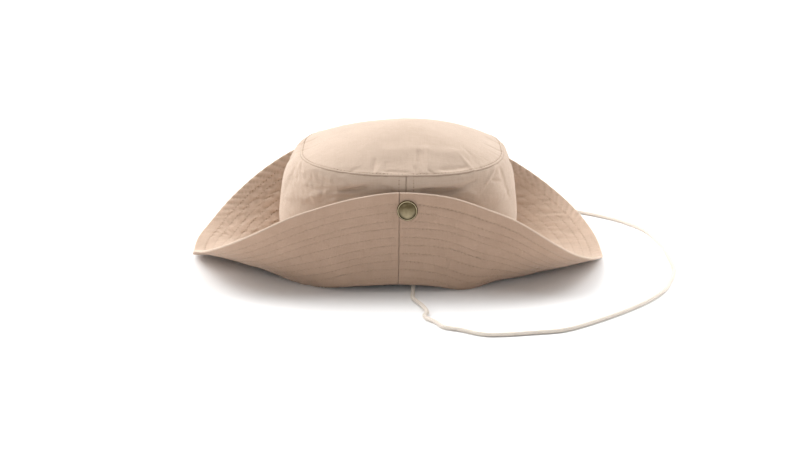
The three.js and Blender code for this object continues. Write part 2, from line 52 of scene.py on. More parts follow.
ELEVATION = math.radians(20.0)
target = place([1.305, 0.0, 28.0])
cam_data = bpy.data.cameras.new("camera")
cam_data.sensor_width = 36.0
cam_data.lens = 67.24
cam_data.clip_start = 0.01
cam_data.clip_end = 100.0
camera = bpy.data.objects.new("camera", cam_data)
back = np.array([0.0, -math.cos(ELEVATION), math.sin(ELEVATION)])
camera.location = target + 1.3 * back
camera.rotation_euler = (math.pi / 2 - ELEVATION, 0.0, 0.0)
bpy.context.scene.collection.objects.link(camera)
bpy.context.scene.camera = camera

# ---- meshes --------------------------------------------------------------------------------


def make_object(name, points, faces, uv=None, attributes=None, merge=None):
    """A smooth piece riding on the hat. points are in the frame's metres."""
    points = np.asarray(points, float)
    faces = [tuple(f) for f in faces]
    mesh = bpy.data.meshes.new(name)
    mesh.from_pydata(points.tolist(), [], faces)
    loops = np.zeros(len(mesh.loops), np.int32)
    mesh.loops.foreach_get("vertex_index", loops)
    if uv is not None:
        layer = mesh.uv_layers.new(name="cloth")
        layer.data.foreach_set("uv", np.asarray(uv, np.float32)[loops].ravel())
    for key, value in (attributes or {}).items():
        a = mesh.attributes.new(key, "FLOAT", "POINT")
        a.data.foreach_set("value", np.asarray(value, np.float32))
    if merge:
        import bmesh

        bm = bmesh.new()
        bm.from_mesh(mesh)
        bmesh.ops.remove_doubles(bm, verts=bm.verts, dist=merge)
        bmesh.ops.dissolve_degenerate(bm, edges=bm.edges, dist=merge)
        loose = [v for v in bm.verts if not v.link_faces]
        bmesh.ops.delete(bm, geom=loose, context="VERTS")
        bm.to_mesh(mesh)
        bm.free()
    mesh.update()
    # Faces point out: the signed volume of a closed mesh is positive.
    mesh.calc_loop_triangles()
    co = np.zeros(len(mesh.vertices) * 3, np.float32)
    mesh.vertices.foreach_get("co", co)
    co = co.reshape(-1, 3).astype(float)
    tri = np.zeros(len(mesh.loop_triangles) * 3, np.int32)
    mesh.loop_triangles.foreach_get("vertices", tri)
    a, b, c = (co[tri.reshape(-1, 3)[:, k]] for k in range(3))
    if (a * np.cross(b, c)).sum() < 0:
        mesh.flip_normals()
    mesh.polygons.foreach_set("use_smooth", np.ones(len(mesh.polygons), bool))
    mesh.update()
    made = bpy.data.objects.new(name, mesh)
    bpy.context.scene.collection.objects.link(made)
    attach(made, "root")
    return made


def grid_faces(rows, cols, closed_cols=False, closed_rows=False, start=0):
    """Quads of a rows x cols grid of points."""
    i = np.arange(rows if closed_rows else rows - 1)
    j = np.arange(cols if closed_cols else cols - 1)
    I, J = np.meshgrid(i, j, indexing="ij")
    I2, J2 = (I + 1) % rows, (J + 1) % cols
    quads = np.stack([I * cols + J, I2 * cols + J, I2 * cols + J2, I * cols + J2], -1)
    return quads.reshape(-1, 4) + start


def unit(v):
    return v / np.maximum(np.linalg.norm(v, axis=-1, keepdims=True), 1e-12)


def ease(x):
    x = np.clip(x, 0.0, 1.0)
    return x * x * (3 - 2 * x)


# Smooth noise from a fixed lattice, about -1 to 1.
LATTICE = np.random.default_rng(11).uniform(-1, 1, (256, 256))


def noise(x, y, layer=0):
    x, y = np.broadcast_arrays(np.asarray(x, float), np.asarray(y, float))
    x, y = x + 17.31 * layer, y + 41.73 * layer
    xi, yi = np.floor(x).astype(int), np.floor(y).astype(int)
    fx, fy = ease(x - xi), ease(y - yi)
    at = lambda i, j: LATTICE[(xi + i) % 256, (yi + j) % 256]
    low = at(0, 0) * (1 - fx) + at(1, 0) * fx
    high = at(0, 1) * (1 - fx) + at(1, 1) * fx
    return low * (1 - fy) + high * fy


# ---- chin cord -----------------------------------------------------------------------------

CORD_DIAMETER = 3.2
CORD_Z = 1.75
# Centre line of the cord: x, y and the height above where it lies on the table.
CORD_ROUTE = [
    (12, -70.6, 10.4), (12, -70.8, 6.6), (12, -71.7, 3.3), (12, -74.1, 0.88), (12, -77.4, 0),
    (11.8, -90, 0), (11.8, -101, 0), (14.5, -107.5, 0), (18.8, -116, 0), (22.2, -126, 0),
    (22.8, -131.5, 0), (20.6, -136.5, 0), (22.6, -142, 0), (29.5, -149.5, 0), (35, -158.5, 0),
    (48, -163.8, 0), (64.5, -172.2, 0), (80, -172.8, 0), (104, -169.2, 0), (128, -164.4, 0),
    (153, -149, 0), (180.5, -127.5, 0), (202, -107, 0), (218, -86, 0), (226.5, -67, 0),
    (234, -42, 0), (235, -12, 0), (233, 24, 0), (224, 58, 0), (204.5, 84.5, 0),
    (176, 105.5, 0), (150, 117.5, 0), (120, 125.5, 0), (90, 128.5, 0), (62, 126.5, 0),
    (38, 118, 0), (20.5, 104.5, 0), (13.2, 92, 0), (12, 77.4, 0), (12, 74.1, 0.88),
    (12, 71.7, 3.3), (12, 70.8, 6.6), (12, 70.6, 10.4),
]


def through(points, step):
    """A centripetal Catmull-Rom line through the points, with points step apart."""
    p = np.asarray(points, float)
    p = np.vstack([2 * p[0] - p[1], p, 2 * p[-1] - p[-2]])
    fine = []
    for k in range(1, len(p) - 2):
        q = p[k - 1 : k + 3]
        t = np.concatenate([[0], np.cumsum(np.linalg.norm(np.diff(q, axis=0), axis=1) ** 0.5)])
        u = np.linspace(t[1], t[2], 60, endpoint=False)[:, None]
        a = [
            ((t[i + 1] - u) * q[i] + (u - t[i]) * q[i + 1]) / (t[i + 1] - t[i]) for i in range(3)
        ]
        b = [
            ((t[i + 2] - u) * a[i] + (u - t[i]) * a[i + 1]) / (t[i + 2] - t[i]) for i in range(2)
        ]
        fine.append(((t[2] - u) * b[0] + (u - t[1]) * b[1]) / (t[2] - t[1]))
    fine = np.vstack(fine + [p[-2][None]])
    along = np.concatenate([[0], np.cumsum(np.linalg.norm(np.diff(fine, axis=0), axis=1))])
    n = int(round(along[-1] / step)) + 1
    s = np.linspace(0, along[-1], n)
    return np.stack([np.interp(s, along, fine[:, k]) for k in range(3)], 1), s


def carried_frames(line, first):
    """Two unit vectors across a line at each of its points, carried along without twist."""
    t = unit(np.gradient(line, axis=0))
    side = np.zeros_like(line)
    v = np.asarray(first, float)
    for i in range(len(line)):
        v = v - t[i] * (v @ t[i])
        v /= np.linalg.norm(v)
        side[i] = v
    return t, side, np.cross(t, side)


BRAID_STRANDS = 4  # each way round
BRAID_PITCH = 9.6  # of one strand's turn round the cord


def braided_cord():
    """One tube whose surface is that of two sets of strands going over and under each other."""
    line, s = through([(x, y, CORD_Z + up) for x, y, up in CORD_ROUTE], 0.42)
    _, side, up = carried_frames(line, (1, 0, 0))
    around = 28
    theta = np.linspace(0, 2 * math.pi, around, endpoint=False)
    S, T = np.meshgrid(s, theta, indexing="ij")
    n = BRAID_STRANDS
    slack = 1 + 0.10 * noise(S / 23, 0.5, 3)
    turns = S / BRAID_PITCH + 0.05 * noise(S / 9, 0.5, 4)
    a = n * (T / (2 * math.pi) - turns)
    b = n * (T / (2 * math.pi) + turns)
    ia, ib = np.round(a), np.round(b)
    fa, fb = (a - ia) / 0.56, (b - ib) / 0.56
    over = np.cos(math.pi * b) * np.where(ia % 2 == 0, 1, -1)
    under = -np.cos(math.pi * a) * np.where(ib % 2 == 0, 1, -1)
    ra = 0.50 * np.sqrt(np.clip(1 - fa**2, 0, 1)) + 0.24 * over
    rb = 0.50 * np.sqrt(np.clip(1 - fb**2, 0, 1)) + 0.24 * under
    relief = np.maximum(ra, rb)
    core = CORD_DIAMETER / 2 - 0.58 + 0.30 * ease((16 - S) / 6)
    r = core + relief * slack + 0.03 * noise(S / 0.9, T * 3, 5)
    ends = np.minimum(ease(S / 0.8), ease((s[-1] - S) / 0.8))
    r = r * (0.35 + 0.65 * ends)
    p = line[:, None] + r[..., None] * (
        np.cos(T)[..., None] * side[:, None] + np.sin(T)[..., None] * up[:, None]
    )
    p[..., 2] = np.maximum(p[..., 2], 0.0)
    points = p.reshape(-1, 3)
    faces = grid_faces(len(s), around, closed_cols=True).tolist()
    first, last = len(points), len(points) + 1
    points = np.vstack([points, line[0], line[-1]])
    for j in range(around):
        k = (j + 1) % around
        faces.append((first, j, k))
        e = (len(s) - 1) * around
        faces.append((last, e + k, e + j))
    # Painted shade between the strands, where the braid is low.
    painted_shade_and_highlight = np.concatenate([np.clip((0.66 - relief) / 0.40, 0, 1).ravel(), [1, 1]])
    uv = np.stack([np.append(S.ravel(), [0, 0]), np.append((T * 1.6).ravel(), [0, 0])], 1) * 0.001
    made = make_object(
        "braided_chin_cord", place(points), faces, uv, {"painted_shade_and_highlight": painted_shade_and_highlight}
    )
    return made, place(line)


cord_piece, cord_line = braided_cord()
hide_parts("chin_cord")
CORD_LENGTH = float(np.linalg.norm(np.diff(cord_line, axis=0), axis=1).sum())

# ---- the hat's form ------------------------------------------------------------------------

HEAD = dict(half_length=100.0, half_width=79.0, squareness=2.25, x=0.0)
TOP_SEAM = dict(half_length=87.0, half_width=69.0, squareness=2.7, x=2.3)
TOP_SEAM_SIDES, TOP_SEAM_RISE, TOP_SEAM_FRONT = 95.1, 3.4, 1.0
DOME_RISE, DOME_FULL, DOME_BACK = 23.6, 1.75, 3.0
CROWN_SEAM = 2.8  # degrees that the crown's side seams sit to the back of the brim's
CROWN_CLOTH, BRIM_CLOTH, BRIM_WIDTH, SETTLE, GAP = 1.5, 1.8, 81.3, 0.6, 0.3

# at, headZ, fan, slopeIn, slopeOut, bendAt, bendWidth
BRIM_SECTIONS = np.array([
    (-90, 19.2, 0.6, -20.2, -3.4, 34.8, 44.7),
    (-75, 18.7, -4.2, -32.1, 15.7, 28.2, 38),
    (-60, 13.7, -9.3, -32.8, 26.7, 17.6, 27.9),
    (-45, 5.1, -13.5, -39.6, 50.7, 10.1, 15.4),
    (-30, 5.8, -15.8, -33.7, 76.9, 9.2, 12.6),
    (-15, 6, -8.9, -22.1, 89.2, 5, 11.1),
    (0, 6.6, 0.9, -18.4, 94.3, 3, 9),
    (15, 5.6, 13.9, -24.6, 91.2, 4.5, 10),
    (30, 4, 21, -38, 78.6, 9, 10.9),
    (45, 8.5, 12.6, -36.9, 44.3, 11, 18.8),
    (60, 13.9, 5.5, -28.9, 25.6, 23.3, 24.8),
    (75, 19, 1, -31, 15.1, 34.2, 35.7),
    (90, 19.6, -1.3, -25.5, 2.8, 41.9, 42.8),
    (105, 15.9, -1.9, -28, 20.4, 38.2, 38.6),
    (120, 12, -6.3, -29.3, 33.3, 28.2, 28.4),
    (135, 7.7, -12, -32.8, 52.7, 16.9, 19.4),
    (150, 5.3, -16.3, -30.7, 73.9, 8.5, 13),
    (165, 5.9, -11.1, -23.9, 90.1, 5.2, 10.1),
    (180, 6.4, -0.8, -19.5, 94.2, 3, 9),
    (195, 5.4, 9.8, -22.9, 88.9, 4.4, 10.3),
    (210, 4.7, 18.1, -29.8, 73.2, 4.7, 12.9),
    (225, 5.3, 16.5, -33.1, 54.1, 12.2, 17.4),
    (240, 11.6, 8.5, -28.4, 32, 26.3, 28),
    (255, 16.2, 3.4, -23.3, 21, 42.4, 39.4),
])
CROWN_PROFILE = np.array([
    # down, end, side
    (0.0, 0.0, 0.0), (0.03, 0.33, 0.07), (0.12, 0.6, 0.18), (0.25, 0.83, 0.31),
    (0.42, 0.99, 0.46), (0.6, 1.11, 0.62), (0.74, 1.17, 0.75), (0.88, 1.1, 0.88), (1.0, 1.0, 1.0),
])
# Main dents: at, row, depth, wide, tall.
CROWN_DENTS = np.array([
    (-22, 1.13, 2.6, 10, 0.09), (-10, 1.3, 1.2, 7, 0.14), (24, 1.14, 2.2, 9, 0.09),
    (12, 1.32, 1.2, 7, 0.14), (-62, 1.2, 1.8, 8, 0.12), (66, 1.22, 1.6, 9, 0.12),
    (36, 0.86, 1.8, 9, 0.09), (-6, 0.84, 1.2, 12, 0.1), (160, 1.15, 2.2, 10, 0.1),
    (204, 1.15, 2.4, 10, 0.1), (128, 1.2, 1.6, 9, 0.13), (-90, 1.0, 4.2, 27, 0.2),
    (92, 1.0, 1.4, 18, 0.18),
])
COLUMN = dict(headZ=1, fan=2, slopeIn=3, slopeOut=4, bendAt=5, bendWidth=6)


def section(column, at):
    table = BRIM_SECTIONS[:, COLUMN[column]]
    u = (np.asarray(at, float) + 90) / 15
    i = np.floor(u).astype(int)
    f = u - i
    p0, p1, p2, p3 = (table[(i + k) % 24] for k in (-1, 0, 1, 2))
    return 0.5 * (
        2 * p1
        + (p2 - p0) * f
        + (2 * p0 - 5 * p1 + 4 * p2 - p3) * f**2
        + (3 * p1 - p0 - 3 * p2 + p3) * f**3
    )


def oval(o, at):
    t = np.radians(np.asarray(at, float))
    s, c = np.sin(t), np.cos(t)
    n = o["squareness"]
    k = (np.abs(s) ** n + np.abs(c) ** n) ** (-1 / n)
    return np.stack([o["x"] + o["half_length"] * k * s, -o["half_width"] * k * c], -1)


def head_tangent(at):
    return unit(oval(HEAD, at + 0.5) - oval(HEAD, at - 0.5))


STEP = 0.25


def brim_plain(at, s):
    """Middle surface of the brim. at is (N,) and s is (N,) or (N, M): points of s's shape."""
    at = np.asarray(at, float)
    s = np.asarray(s, float)
    flat = s.ndim == 1
    s2 = s[:, None] if flat else s
    unique, inverse = np.unique(at, return_inverse=True)
    slope_in, slope_out = (np.radians(section(k, unique)) for k in ("slopeIn", "slopeOut"))
    bend_at, bend_width = section("bendAt", unique), section("bendWidth", unique)
    mid = np.arange(STEP / 2, BRIM_WIDTH + 3, STEP)
    slope = slope_in[:, None] + (slope_out - slope_in)[:, None] * ease(
        (mid - bend_at[:, None]) / bend_width[:, None] + 0.5
    )
    zero = np.zeros((len(unique), 1))
    R = np.concatenate([zero, np.cumsum(np.cos(slope) * STEP, 1)], 1)
    Z = np.concatenate([zero, np.cumsum(np.sin(slope) * STEP, 1)], 1)
    u = s2 / STEP
    i = np.clip(np.floor(u).astype(int), 0, R.shape[1] - 2)
    f = u - i
    row = inverse.reshape(-1)[:, None]
    r = R[row, i] * (1 - f) + R[row, i + 1] * f
    z = Z[row, i] * (1 - f) + Z[row, i + 1] * f
    t = head_tangent(at)[:, None]
    h = oval(HEAD, at)[:, None]
    drift = section("fan", at)[:, None] * s2 / BRIM_WIDTH
    out = np.stack(
        [
            h[..., 0] + r * t[..., 1] + drift * t[..., 0],
            h[..., 1] - r * t[..., 0] + drift * t[..., 1],
            section("headZ", at)[:, None] + z - SETTLE,
        ],
        -1,
    )
    return out[:, 0] if flat else out


def brim_normal(at, s):
    """Unit normal on the lower face, the one that shows outside where the brim is turned up."""
    at, s = np.asarray(at, float), np.asarray(s, float)
    d_at = brim_plain(at + 0.5, s) - brim_plain(at - 0.5, s)
    d_s = brim_plain(at, s + 0.6) - brim_plain(at, s - 0.6)
    return -unit(np.cross(d_s, d_at))


def smooth_lookup(x, column):
    """Rounded interpolation of CROWN_PROFILE."""
    xs, ys = CROWN_PROFILE[:, 0], CROWN_PROFILE[:, column]
    d = np.diff(ys) / np.diff(xs)
    m = np.concatenate([[d[0]], np.where(d[1:] * d[:-1] > 0, 2 * d[1:] * d[:-1] / (d[1:] + d[:-1] + 1e-12), 0), [d[-1]]])
    i = np.clip(np.searchsorted(xs, x, side="right") - 1, 0, len(xs) - 2)
    h = xs[i + 1] - xs[i]
    t = np.clip((x - xs[i]) / h, 0, 1)
    return (
        ys[i] * (2 * t**3 - 3 * t**2 + 1)
        + m[i] * h * (t**3 - 2 * t**2 + t)
        + ys[i + 1] * (-2 * t**3 + 3 * t**2)
        + m[i + 1] * h * (t**3 - t**2)
    )


def foot_height(at):
    slope = np.abs(np.radians(section("slopeIn", at)))
    return (
        section("headZ", at) - SETTLE + BRIM_CLOTH / 2 / np.cos(slope)
        + (CROWN_CLOTH / 2 + 0.3) * np.tan(slope) + GAP
    )


def crown_plain(at, row):
    """Middle surface of the crown. row is 0 in the middle of the top, 1 at the seam, 2 at the foot."""
    at, row = np.broadcast_arrays(np.asarray(at, float), np.asarray(row, float))
    s = np.sin(np.radians(at))
    seam = oval(TOP_SEAM, at)
    seam_z = TOP_SEAM_SIDES + TOP_SEAM_RISE * s**2 - TOP_SEAM_FRONT * s
    r = np.minimum(row, 1.0)
    x = (seam[..., 0] - TOP_SEAM["x"]) * r + TOP_SEAM["x"]
    middle = TOP_SEAM_SIDES + TOP_SEAM_RISE / 2
    z = (
        middle + (seam_z - middle) * r**2 + DOME_RISE * (1 - r**DOME_FULL)
        + DOME_BACK * x * (1 - r**2) / 90
    )
    top = np.stack([x, seam[..., 1] * r, z], -1)
    down = np.clip(row - 1, 0, 1)
    out = smooth_lookup(down, 2) * (1 - s**2) + smooth_lookup(down, 1) * s**2
    foot = oval(HEAD, at)
    side = np.stack(
        [
            seam[..., 0] + (foot[..., 0] - seam[..., 0]) * out,
            seam[..., 1] + (foot[..., 1] - seam[..., 1]) * out,
            seam_z + (foot_height(at) - seam_z) * down - np.maximum(row - 2, 0) * 90,
        ],
        -1,
    )
    p = np.where((row <= 1)[..., None], top, side)
    depth = np.zeros(at.shape)
    for a0, r0, deep, wide, tall in CROWN_DENTS:
        d = (at - a0 + 180) % 360 - 180
        depth += deep * np.exp(-((d / wide) ** 2) - ((row - r0) / tall) ** 2)
    radial = p[..., :2] / np.array([HEAD["half_length"] ** 2, HEAD["half_width"] ** 2])
    radial = unit(radial)
    tilt = np.clip((row - 0.7) / 0.6, 0, 1)
    p[..., 0] -= radial[..., 0] * depth * tilt
    p[..., 1] -= radial[..., 1] * depth * tilt
    p[..., 2] -= depth * (1 - tilt)
    return p


def crown_normal(at, row):
    at, row = np.broadcast_arrays(np.asarray(at, float), np.asarray(row, float))
    # The two panels meet in a corner, so each side of it has its own normal.
    lo = np.where(row <= 1, np.minimum(row + 0.01, 1.0), row + 0.01)
    hi = np.where(row <= 1, lo - 0.02, np.maximum(row - 0.01, 1.0001))
    d_at = crown_plain(at + 0.8, row) - crown_plain(at - 0.8, row)
    d_row = crown_plain(at, lo) - crown_plain(at, hi)
    n = unit(np.cross(d_row, d_at))
    pole = unit(np.array([-DOME_BACK / 90, 0, 1.0]))
    return np.where((row < 0.03)[..., None], pole, n)

# ---- snaps: where they are -----------------------------------------------------------------

SNAP_FROM_EDGE, SNAP_X = 14.7, 7.2
SNAP_CLEAR = 0.58  # between each disc of the snap and the flat of the cloth


def snap_frame(middle):
    """Centre on the brim's middle surface, outward axis, and the way back to the crown's wall."""
    s = np.array([BRIM_WIDTH - SNAP_FROM_EDGE])
    at = np.array([float(middle)])
    for _ in range(20):
        p, q = brim_plain(at, s)[0], brim_plain(at + 0.5, s)[0]
        at = at + 0.5 * (SNAP_X - p[0]) / (q[0] - p[0])
    centre, axis = brim_plain(at, s)[0], brim_normal(at, s)[0]
    A, R = np.meshgrid(at[0] + np.arange(-2, 3), np.arange(1.02, 1.9, 0.002), indexing="ij")
    away = crown_plain(A.ravel(), R.ravel()) - centre
    along = -(away @ axis)
    miss = np.linalg.norm(away + along[:, None] * axis, axis=1)
    return centre, axis, along[miss.argmin()]


SNAPS = {"near": snap_frame(0), "far": snap_frame(180)}


def from_snaps(points):
    """How far points are from the nearer snap's axis."""
    best = np.full(points.shape[:-1], 1e9)
    for centre, axis, _ in SNAPS.values():
        d = points - centre
        along = d @ axis
        miss = np.linalg.norm(d - along[..., None] * axis, axis=-1)
        best = np.minimum(best, np.where(np.abs(along) < 25, miss, 1e9))
    return best


# ---- brim: relief of the cloth -------------------------------------------------------------

# Rows of quilting, by their distance from the hem. The first holds the turned hem down.
QUILT = np.array([9.8, 16.8, 23.8, 30.6, 37.7, 44.8, 51.4, 57.9, 65.2, 72.2])
# How far each row strays towards the hem on the near side, left and right of the side seam.
STRAY = np.array([
    (0.0, 0.0), (1.4, -0.8), (0.5, 0.2), (2.1, 2.4), (1.3, 1.2), (0.6, 3.2), (0.8, 1.5),
    (1.3, -0.6), (2.4, 1.1), (1.2, 0.7),
])
STITCH = 3.3  # mm from one stitch to the next
FLAT_RADIUS = 91.8  # inner radius of the brim's flat cut


def back_hold(at):
    """Nothing uneven crosses the far side seam, where the angles start again."""
    return ease((180 - np.abs(at)) / 8)


def wander(at, k):
    """A quilting row is never quite even."""
    u = np.radians(at) * 130
    near = STRAY[k, 0] * np.exp(-(((at + 23) / 15) ** 2)) + STRAY[k, 1] * np.exp(-(((at - 23) / 15) ** 2))
    far = ease((np.abs(at) - 80) / 25)
    uneven = 0.55 * noise(u / 55, k * 3.7, 21) + (0.16 + 0.26 * far) * noise(u / 13, k * 5.1, 22)
    return near + back_hold(at) * (uneven + 0.24 * far * noise(u / 5.5, k * 2.7, 23))


def quilt_s(at, k):
    return BRIM_WIDTH - QUILT[k] + wander(at, k)


def brim_wave(at, s):
    """Soft unevenness of the whole brim, which dies out at the hem, the folds and the snaps."""
    r = FLAT_RADIUS + s
    u = np.radians(at) * r
    w = 0.55 * noise(u / 38, s / 30, 31) + 0.22 * noise(u / 17, s / 21, 32)
    hold = ease((s - 12) / 16) * (0.35 + 0.65 * ease((BRIM_WIDTH - s) / 22))
    return w * hold * back_hold(at)


def at_tips(a):
    """1 at both tips of the brim, where the quilting hardly shows, 0 elsewhere."""
    return np.exp(-(((np.abs(a) - 90) / 21) ** 2))


def pleats(a, s):
    """Slanting pleats of the upper layer, which has more slack; they run from row to row."""
    u, edge = np.radians(a) * (FLAT_RADIUS + s), BRIM_WIDTH - s
    hold = ease((s - 4) / 6) * ease((edge - 9) / 3) * back_hold(a)
    right, far = ease((a - 90) / 20), ease((np.abs(a) - 85) / 25)
    return hold * noise((u + 1.1 * edge) / 3.9, edge / 8.5, 60) * (1 - 0.6 * at_tips(a)) * (1 - 0.3 * right) * (0.45 + 0.55 * far)


def roping(a, s):
    """Slanting waves of the turned hem on the upper side, strong in places."""
    u, edge = np.radians(a) * (FLAT_RADIUS + s), BRIM_WIDTH - s
    turn = (np.radians(a) * 173 + 1.0 * edge) / 1.3 + 2.4 * noise(u / 27, 0.3, 91)
    size = 0.42 + 0.30 * noise(u / 13, 1.7, 92) + 0.50 * np.exp(-(((a + 130) / 22) ** 2)) + 0.25 * np.exp(-(((a - 128) / 26) ** 2))
    size = np.clip(size, 0, 1) * (1 - 0.8 * at_tips(a))
    return back_hold(a) * size * np.sin(turn) * np.exp(-((edge / 12.5) ** 2)) * ease(edge / 2.5)


def brim_mid(at, s):
    p = brim_plain(at, s)
    n = brim_normal(at, s)
    a = np.broadcast_to(np.asarray(at, float)[(...,) + (None,) * (np.ndim(s) - 1)], np.shape(s))
    wave = brim_wave(a, s)
    near = from_snaps(p)
    wave = wave * ease((near - 9) / 14)
    return p + n * wave[..., None], n, near, a


def brim_offset(a, s, face, near):
    """Distance of a face from the middle surface. face is 1 below (outside where turned up), -1 above."""
    r = FLAT_RADIUS + s
    u = np.radians(a) * r
    off = np.full(np.shape(s), BRIM_CLOTH / 2)
    edge = BRIM_WIDTH - s
    # Hem: a third and fourth layer, which end at the first row of stitches.
    off = off + 0.16 * ease((QUILT[0] - edge + 0.3) / 0.8)
    groove = np.zeros(np.shape(s))
    for k in range(len(QUILT)):
        d = s - quilt_s(a, k)
        deep = (np.where(a < 0, 0.10, 0.15) if face > 0 else 0.20) + 0.08 * noise(u / 9, k * 2.3, 41 + face)
        deep = deep * (1 - 0.6 * at_tips(a))
        if k == 0:
            side = ease((a - 2) / 10) * ease((178 - a) / 10)
            deep = (0.08 + 0.42 * side) if face > 0 else deep
        groove += deep * np.exp(-((d / (0.75 if k else 0.6)) ** 2))
        # The cloth puckers between stitches, crosswise to the row.
        pull = back_hold(a) * noise(u / 2.6, k * 1.9, 51 + face) * np.exp(-((d / 2.6) ** 2))
        off = off + (0.12 if face > 0 else 0.26) * pull * (1 - 0.6 * at_tips(a))
    hold = ease((s - 4) / 6) * ease((edge - 9) / 3) * back_hold(a)
    if face > 0:
        off = off + 0.12 * hold * noise(u / 4.6 + s / 9, s / 7.5, 62)
        # One crease across the rows, where the lower layer was caught.
        x = (a - 18.5 - 1.2 * noise(s / 19, 0.5, 94)) * 2.4
        off = off - 0.24 * np.exp(-((x / 1.3) ** 2)) * (0.55 + 0.45 * noise(s / 4.5, 1.5, 95)) * ease((edge - 6) / 6)
        off = off + 0.20 * np.exp(-(((x - 2.6) / 1.5) ** 2)) * (0.5 + 0.5 * noise(s / 5.5, 2.5, 96)) * ease((edge - 6) / 6)
    else:
        off = off + 0.68 * pleats(a, s) + 0.62 * roping(a, s)
    off = off - groove
    # The cloth rises to the snap's discs and is pinched just outside them.
    disc = 9.4 if face > 0 else 6.0
    off = off + (SNAP_CLEAR - 0.06) * ease((disc - near) / 1.2)
    off = off - 0.18 * np.exp(-(((near - disc - 1.4) / 1.5) ** 2))
    return off


def brim_face(at, s, face):
    mid, n, near, a = brim_mid(at, s)
    off = brim_offset(a, s, face, near)
    p = mid + face * n * off[..., None]
    floor = 0.0 if face > 0 else BRIM_CLOTH * 0.9
    p[..., 2] = np.maximum(p[..., 2], floor)
    return p, n


# ---- crown: relief of the cloth ------------------------------------------------------------

# Folds of the crown, each from one place to another: at, row, at, row, width and depth in mm
# (a negative depth is a ridge).
CROWN_FOLDS = np.array([
    # near side, pulled in by the fastened snap
    (-28.5, 1.15, -20, 1.105, 2.3, 2.7), (-31, 1.105, -18, 1.055, 2.4, -0.7), (-34, 1.23, -24, 1.20, 3.0, 0.9),
    (-13, 1.145, -4, 1.135, 2.0, 0.3), (13, 1.125, 28, 1.13, 2.8, 3.5), (13, 1.07, 30, 1.08, 2.6, -1.0),
    (29, 1.10, 37, 1.085, 2.0, 1.1), (47, 1.11, 52, 1.04, 2.0, -1.0), (52, 1.14, 57, 1.17, 2.0, 0.8),
    (30, 1.13, 37, 1.20, 3.0, -0.9), (-56, 1.06, -60.5, 1.02, 1.4, 0.8), (-42, 1.18, -38, 1.16, 2.0, 0.7),
    (-36, 1.19, -33, 1.17, 2.0, 0.6), (-53, 1.22, -50, 1.20, 2.4, 0.6), (-49, 1.10, -46, 1.13, 2.4, 0.5),
    (-52, 1.05, -47, 1.03, 2.0, -0.5), (-44, 1.07, -38, 1.10, 2.2, 0.5), (-40, 1.22, -46, 1.26, 2.6, -0.7),
    (-8, 1.09, -3, 1.15, 2.0, 0.7), (6, 1.03, 11, 1.06, 1.8, 0.6), (44, 1.20, 52, 1.08, 3.2, 0.35),
    (-4, 1.16, 0, 1.40, 2.6, 0.8), (10, 1.18, 8, 1.42, 2.6, 0.7), (60, 1.10, 66, 1.34, 4.5, 0.8),
    (-66, 1.14, -72, 1.45, 6.0, 0.4), (-48, 1.35, -70, 1.50, 5.0, 0.6), (50, 1.42, 74, 1.36, 5.0, 0.7),
    # gathers of the top panel over the near seam
    (-17.5, 0.80, -16, 0.92, 2.0, 0.9), (-10, 0.83, -8.5, 0.92, 1.6, 0.55), (-13, 0.86, -13, 0.95, 1.8, -0.4),
    (-7.5, 0.945, 2, 0.955, 2.0, 0.9), (-24, 0.92, -27, 0.98, 1.6, 0.4), (14.2, 0.66, 12.2, 0.79, 1.7, 0.7),
    (8.5, 0.90, 8.5, 0.965, 1.3, 0.7), (21, 0.66, 14.5, 0.93, 2.4, -0.8), (11, 0.90, 10.8, 0.97, 1.2, -0.5),
    (15.5, 0.94, 17.5, 0.975, 1.6, 0.8), (25, 0.93, 35, 0.93, 3.2, 1.3), (41, 0.81, 39, 0.97, 1.8, -0.9),
    (49, 0.76, 44, 0.97, 2.4, 0.35), (-9, 0.63, 16, 0.625, 5.0, -0.30), (16, 0.625, 41, 0.72, 5.0, -0.35),
    (-36, 0.88, -33, 0.975, 2.6, 0.4), (-20, 0.94, -30, 0.955, 2.2, 0.4),
    # far side
    (153, 1.155, 168, 1.08, 3.6, 1.9), (152, 1.10, 170, 1.04, 2.8, -0.8),
    (190, 1.12, 208, 1.16, 3.8, 2.2), (190, 1.07, 212, 1.085, 2.8, -0.9),
    (140, 1.21, 128, 1.12, 3.6, 0.9), (214, 1.19, 228, 1.10, 3.4, 0.9),
    (176, 1.17, 174, 1.42, 2.6, 0.8), (187, 1.17, 190, 1.40, 2.6, 0.7),
    (163, 0.80, 163, 0.975, 2.0, 0.8), (170, 0.86, 170, 0.98, 1.6, -0.4),
    (176, 0.84, 176, 0.98, 1.8, 0.6), (186, 0.74, 186, 0.97, 2.2, 0.8),
    (190, 0.82, 190, 0.98, 1.7, -0.6), (200, 0.93, 210, 0.94, 4.0, 1.0), (221, 0.80, 217, 0.985, 2.0, -0.8),
    # the two ends
    (-84, 1.08, -96, 1.17, 4.0, 0.9), (-110, 1.12, -124, 1.06, 3.0, 0.7), (-80, 0.84, -82, 0.98, 2.4, 0.5),
    (-102, 0.86, -100, 0.98, 2.2, 0.5), (-118, 1.30, -100, 1.44, 5.0, 0.8), (82, 1.07, 96, 1.16, 3.8, 0.9),
    (108, 1.10, 120, 1.05, 3.0, 0.7), (78, 0.84, 80, 0.98, 2.2, 0.5), (101, 0.86, 99, 0.98, 2.4, 0.5),
    (112, 1.32, 92, 1.46, 5.0, 0.8), (-136, 1.10, -146, 1.20, 3.2, 0.9), (-128, 0.86, -127, 0.98, 2.0, 0.5),
])
AT_MM = 1.46  # along the top seam, for one degree


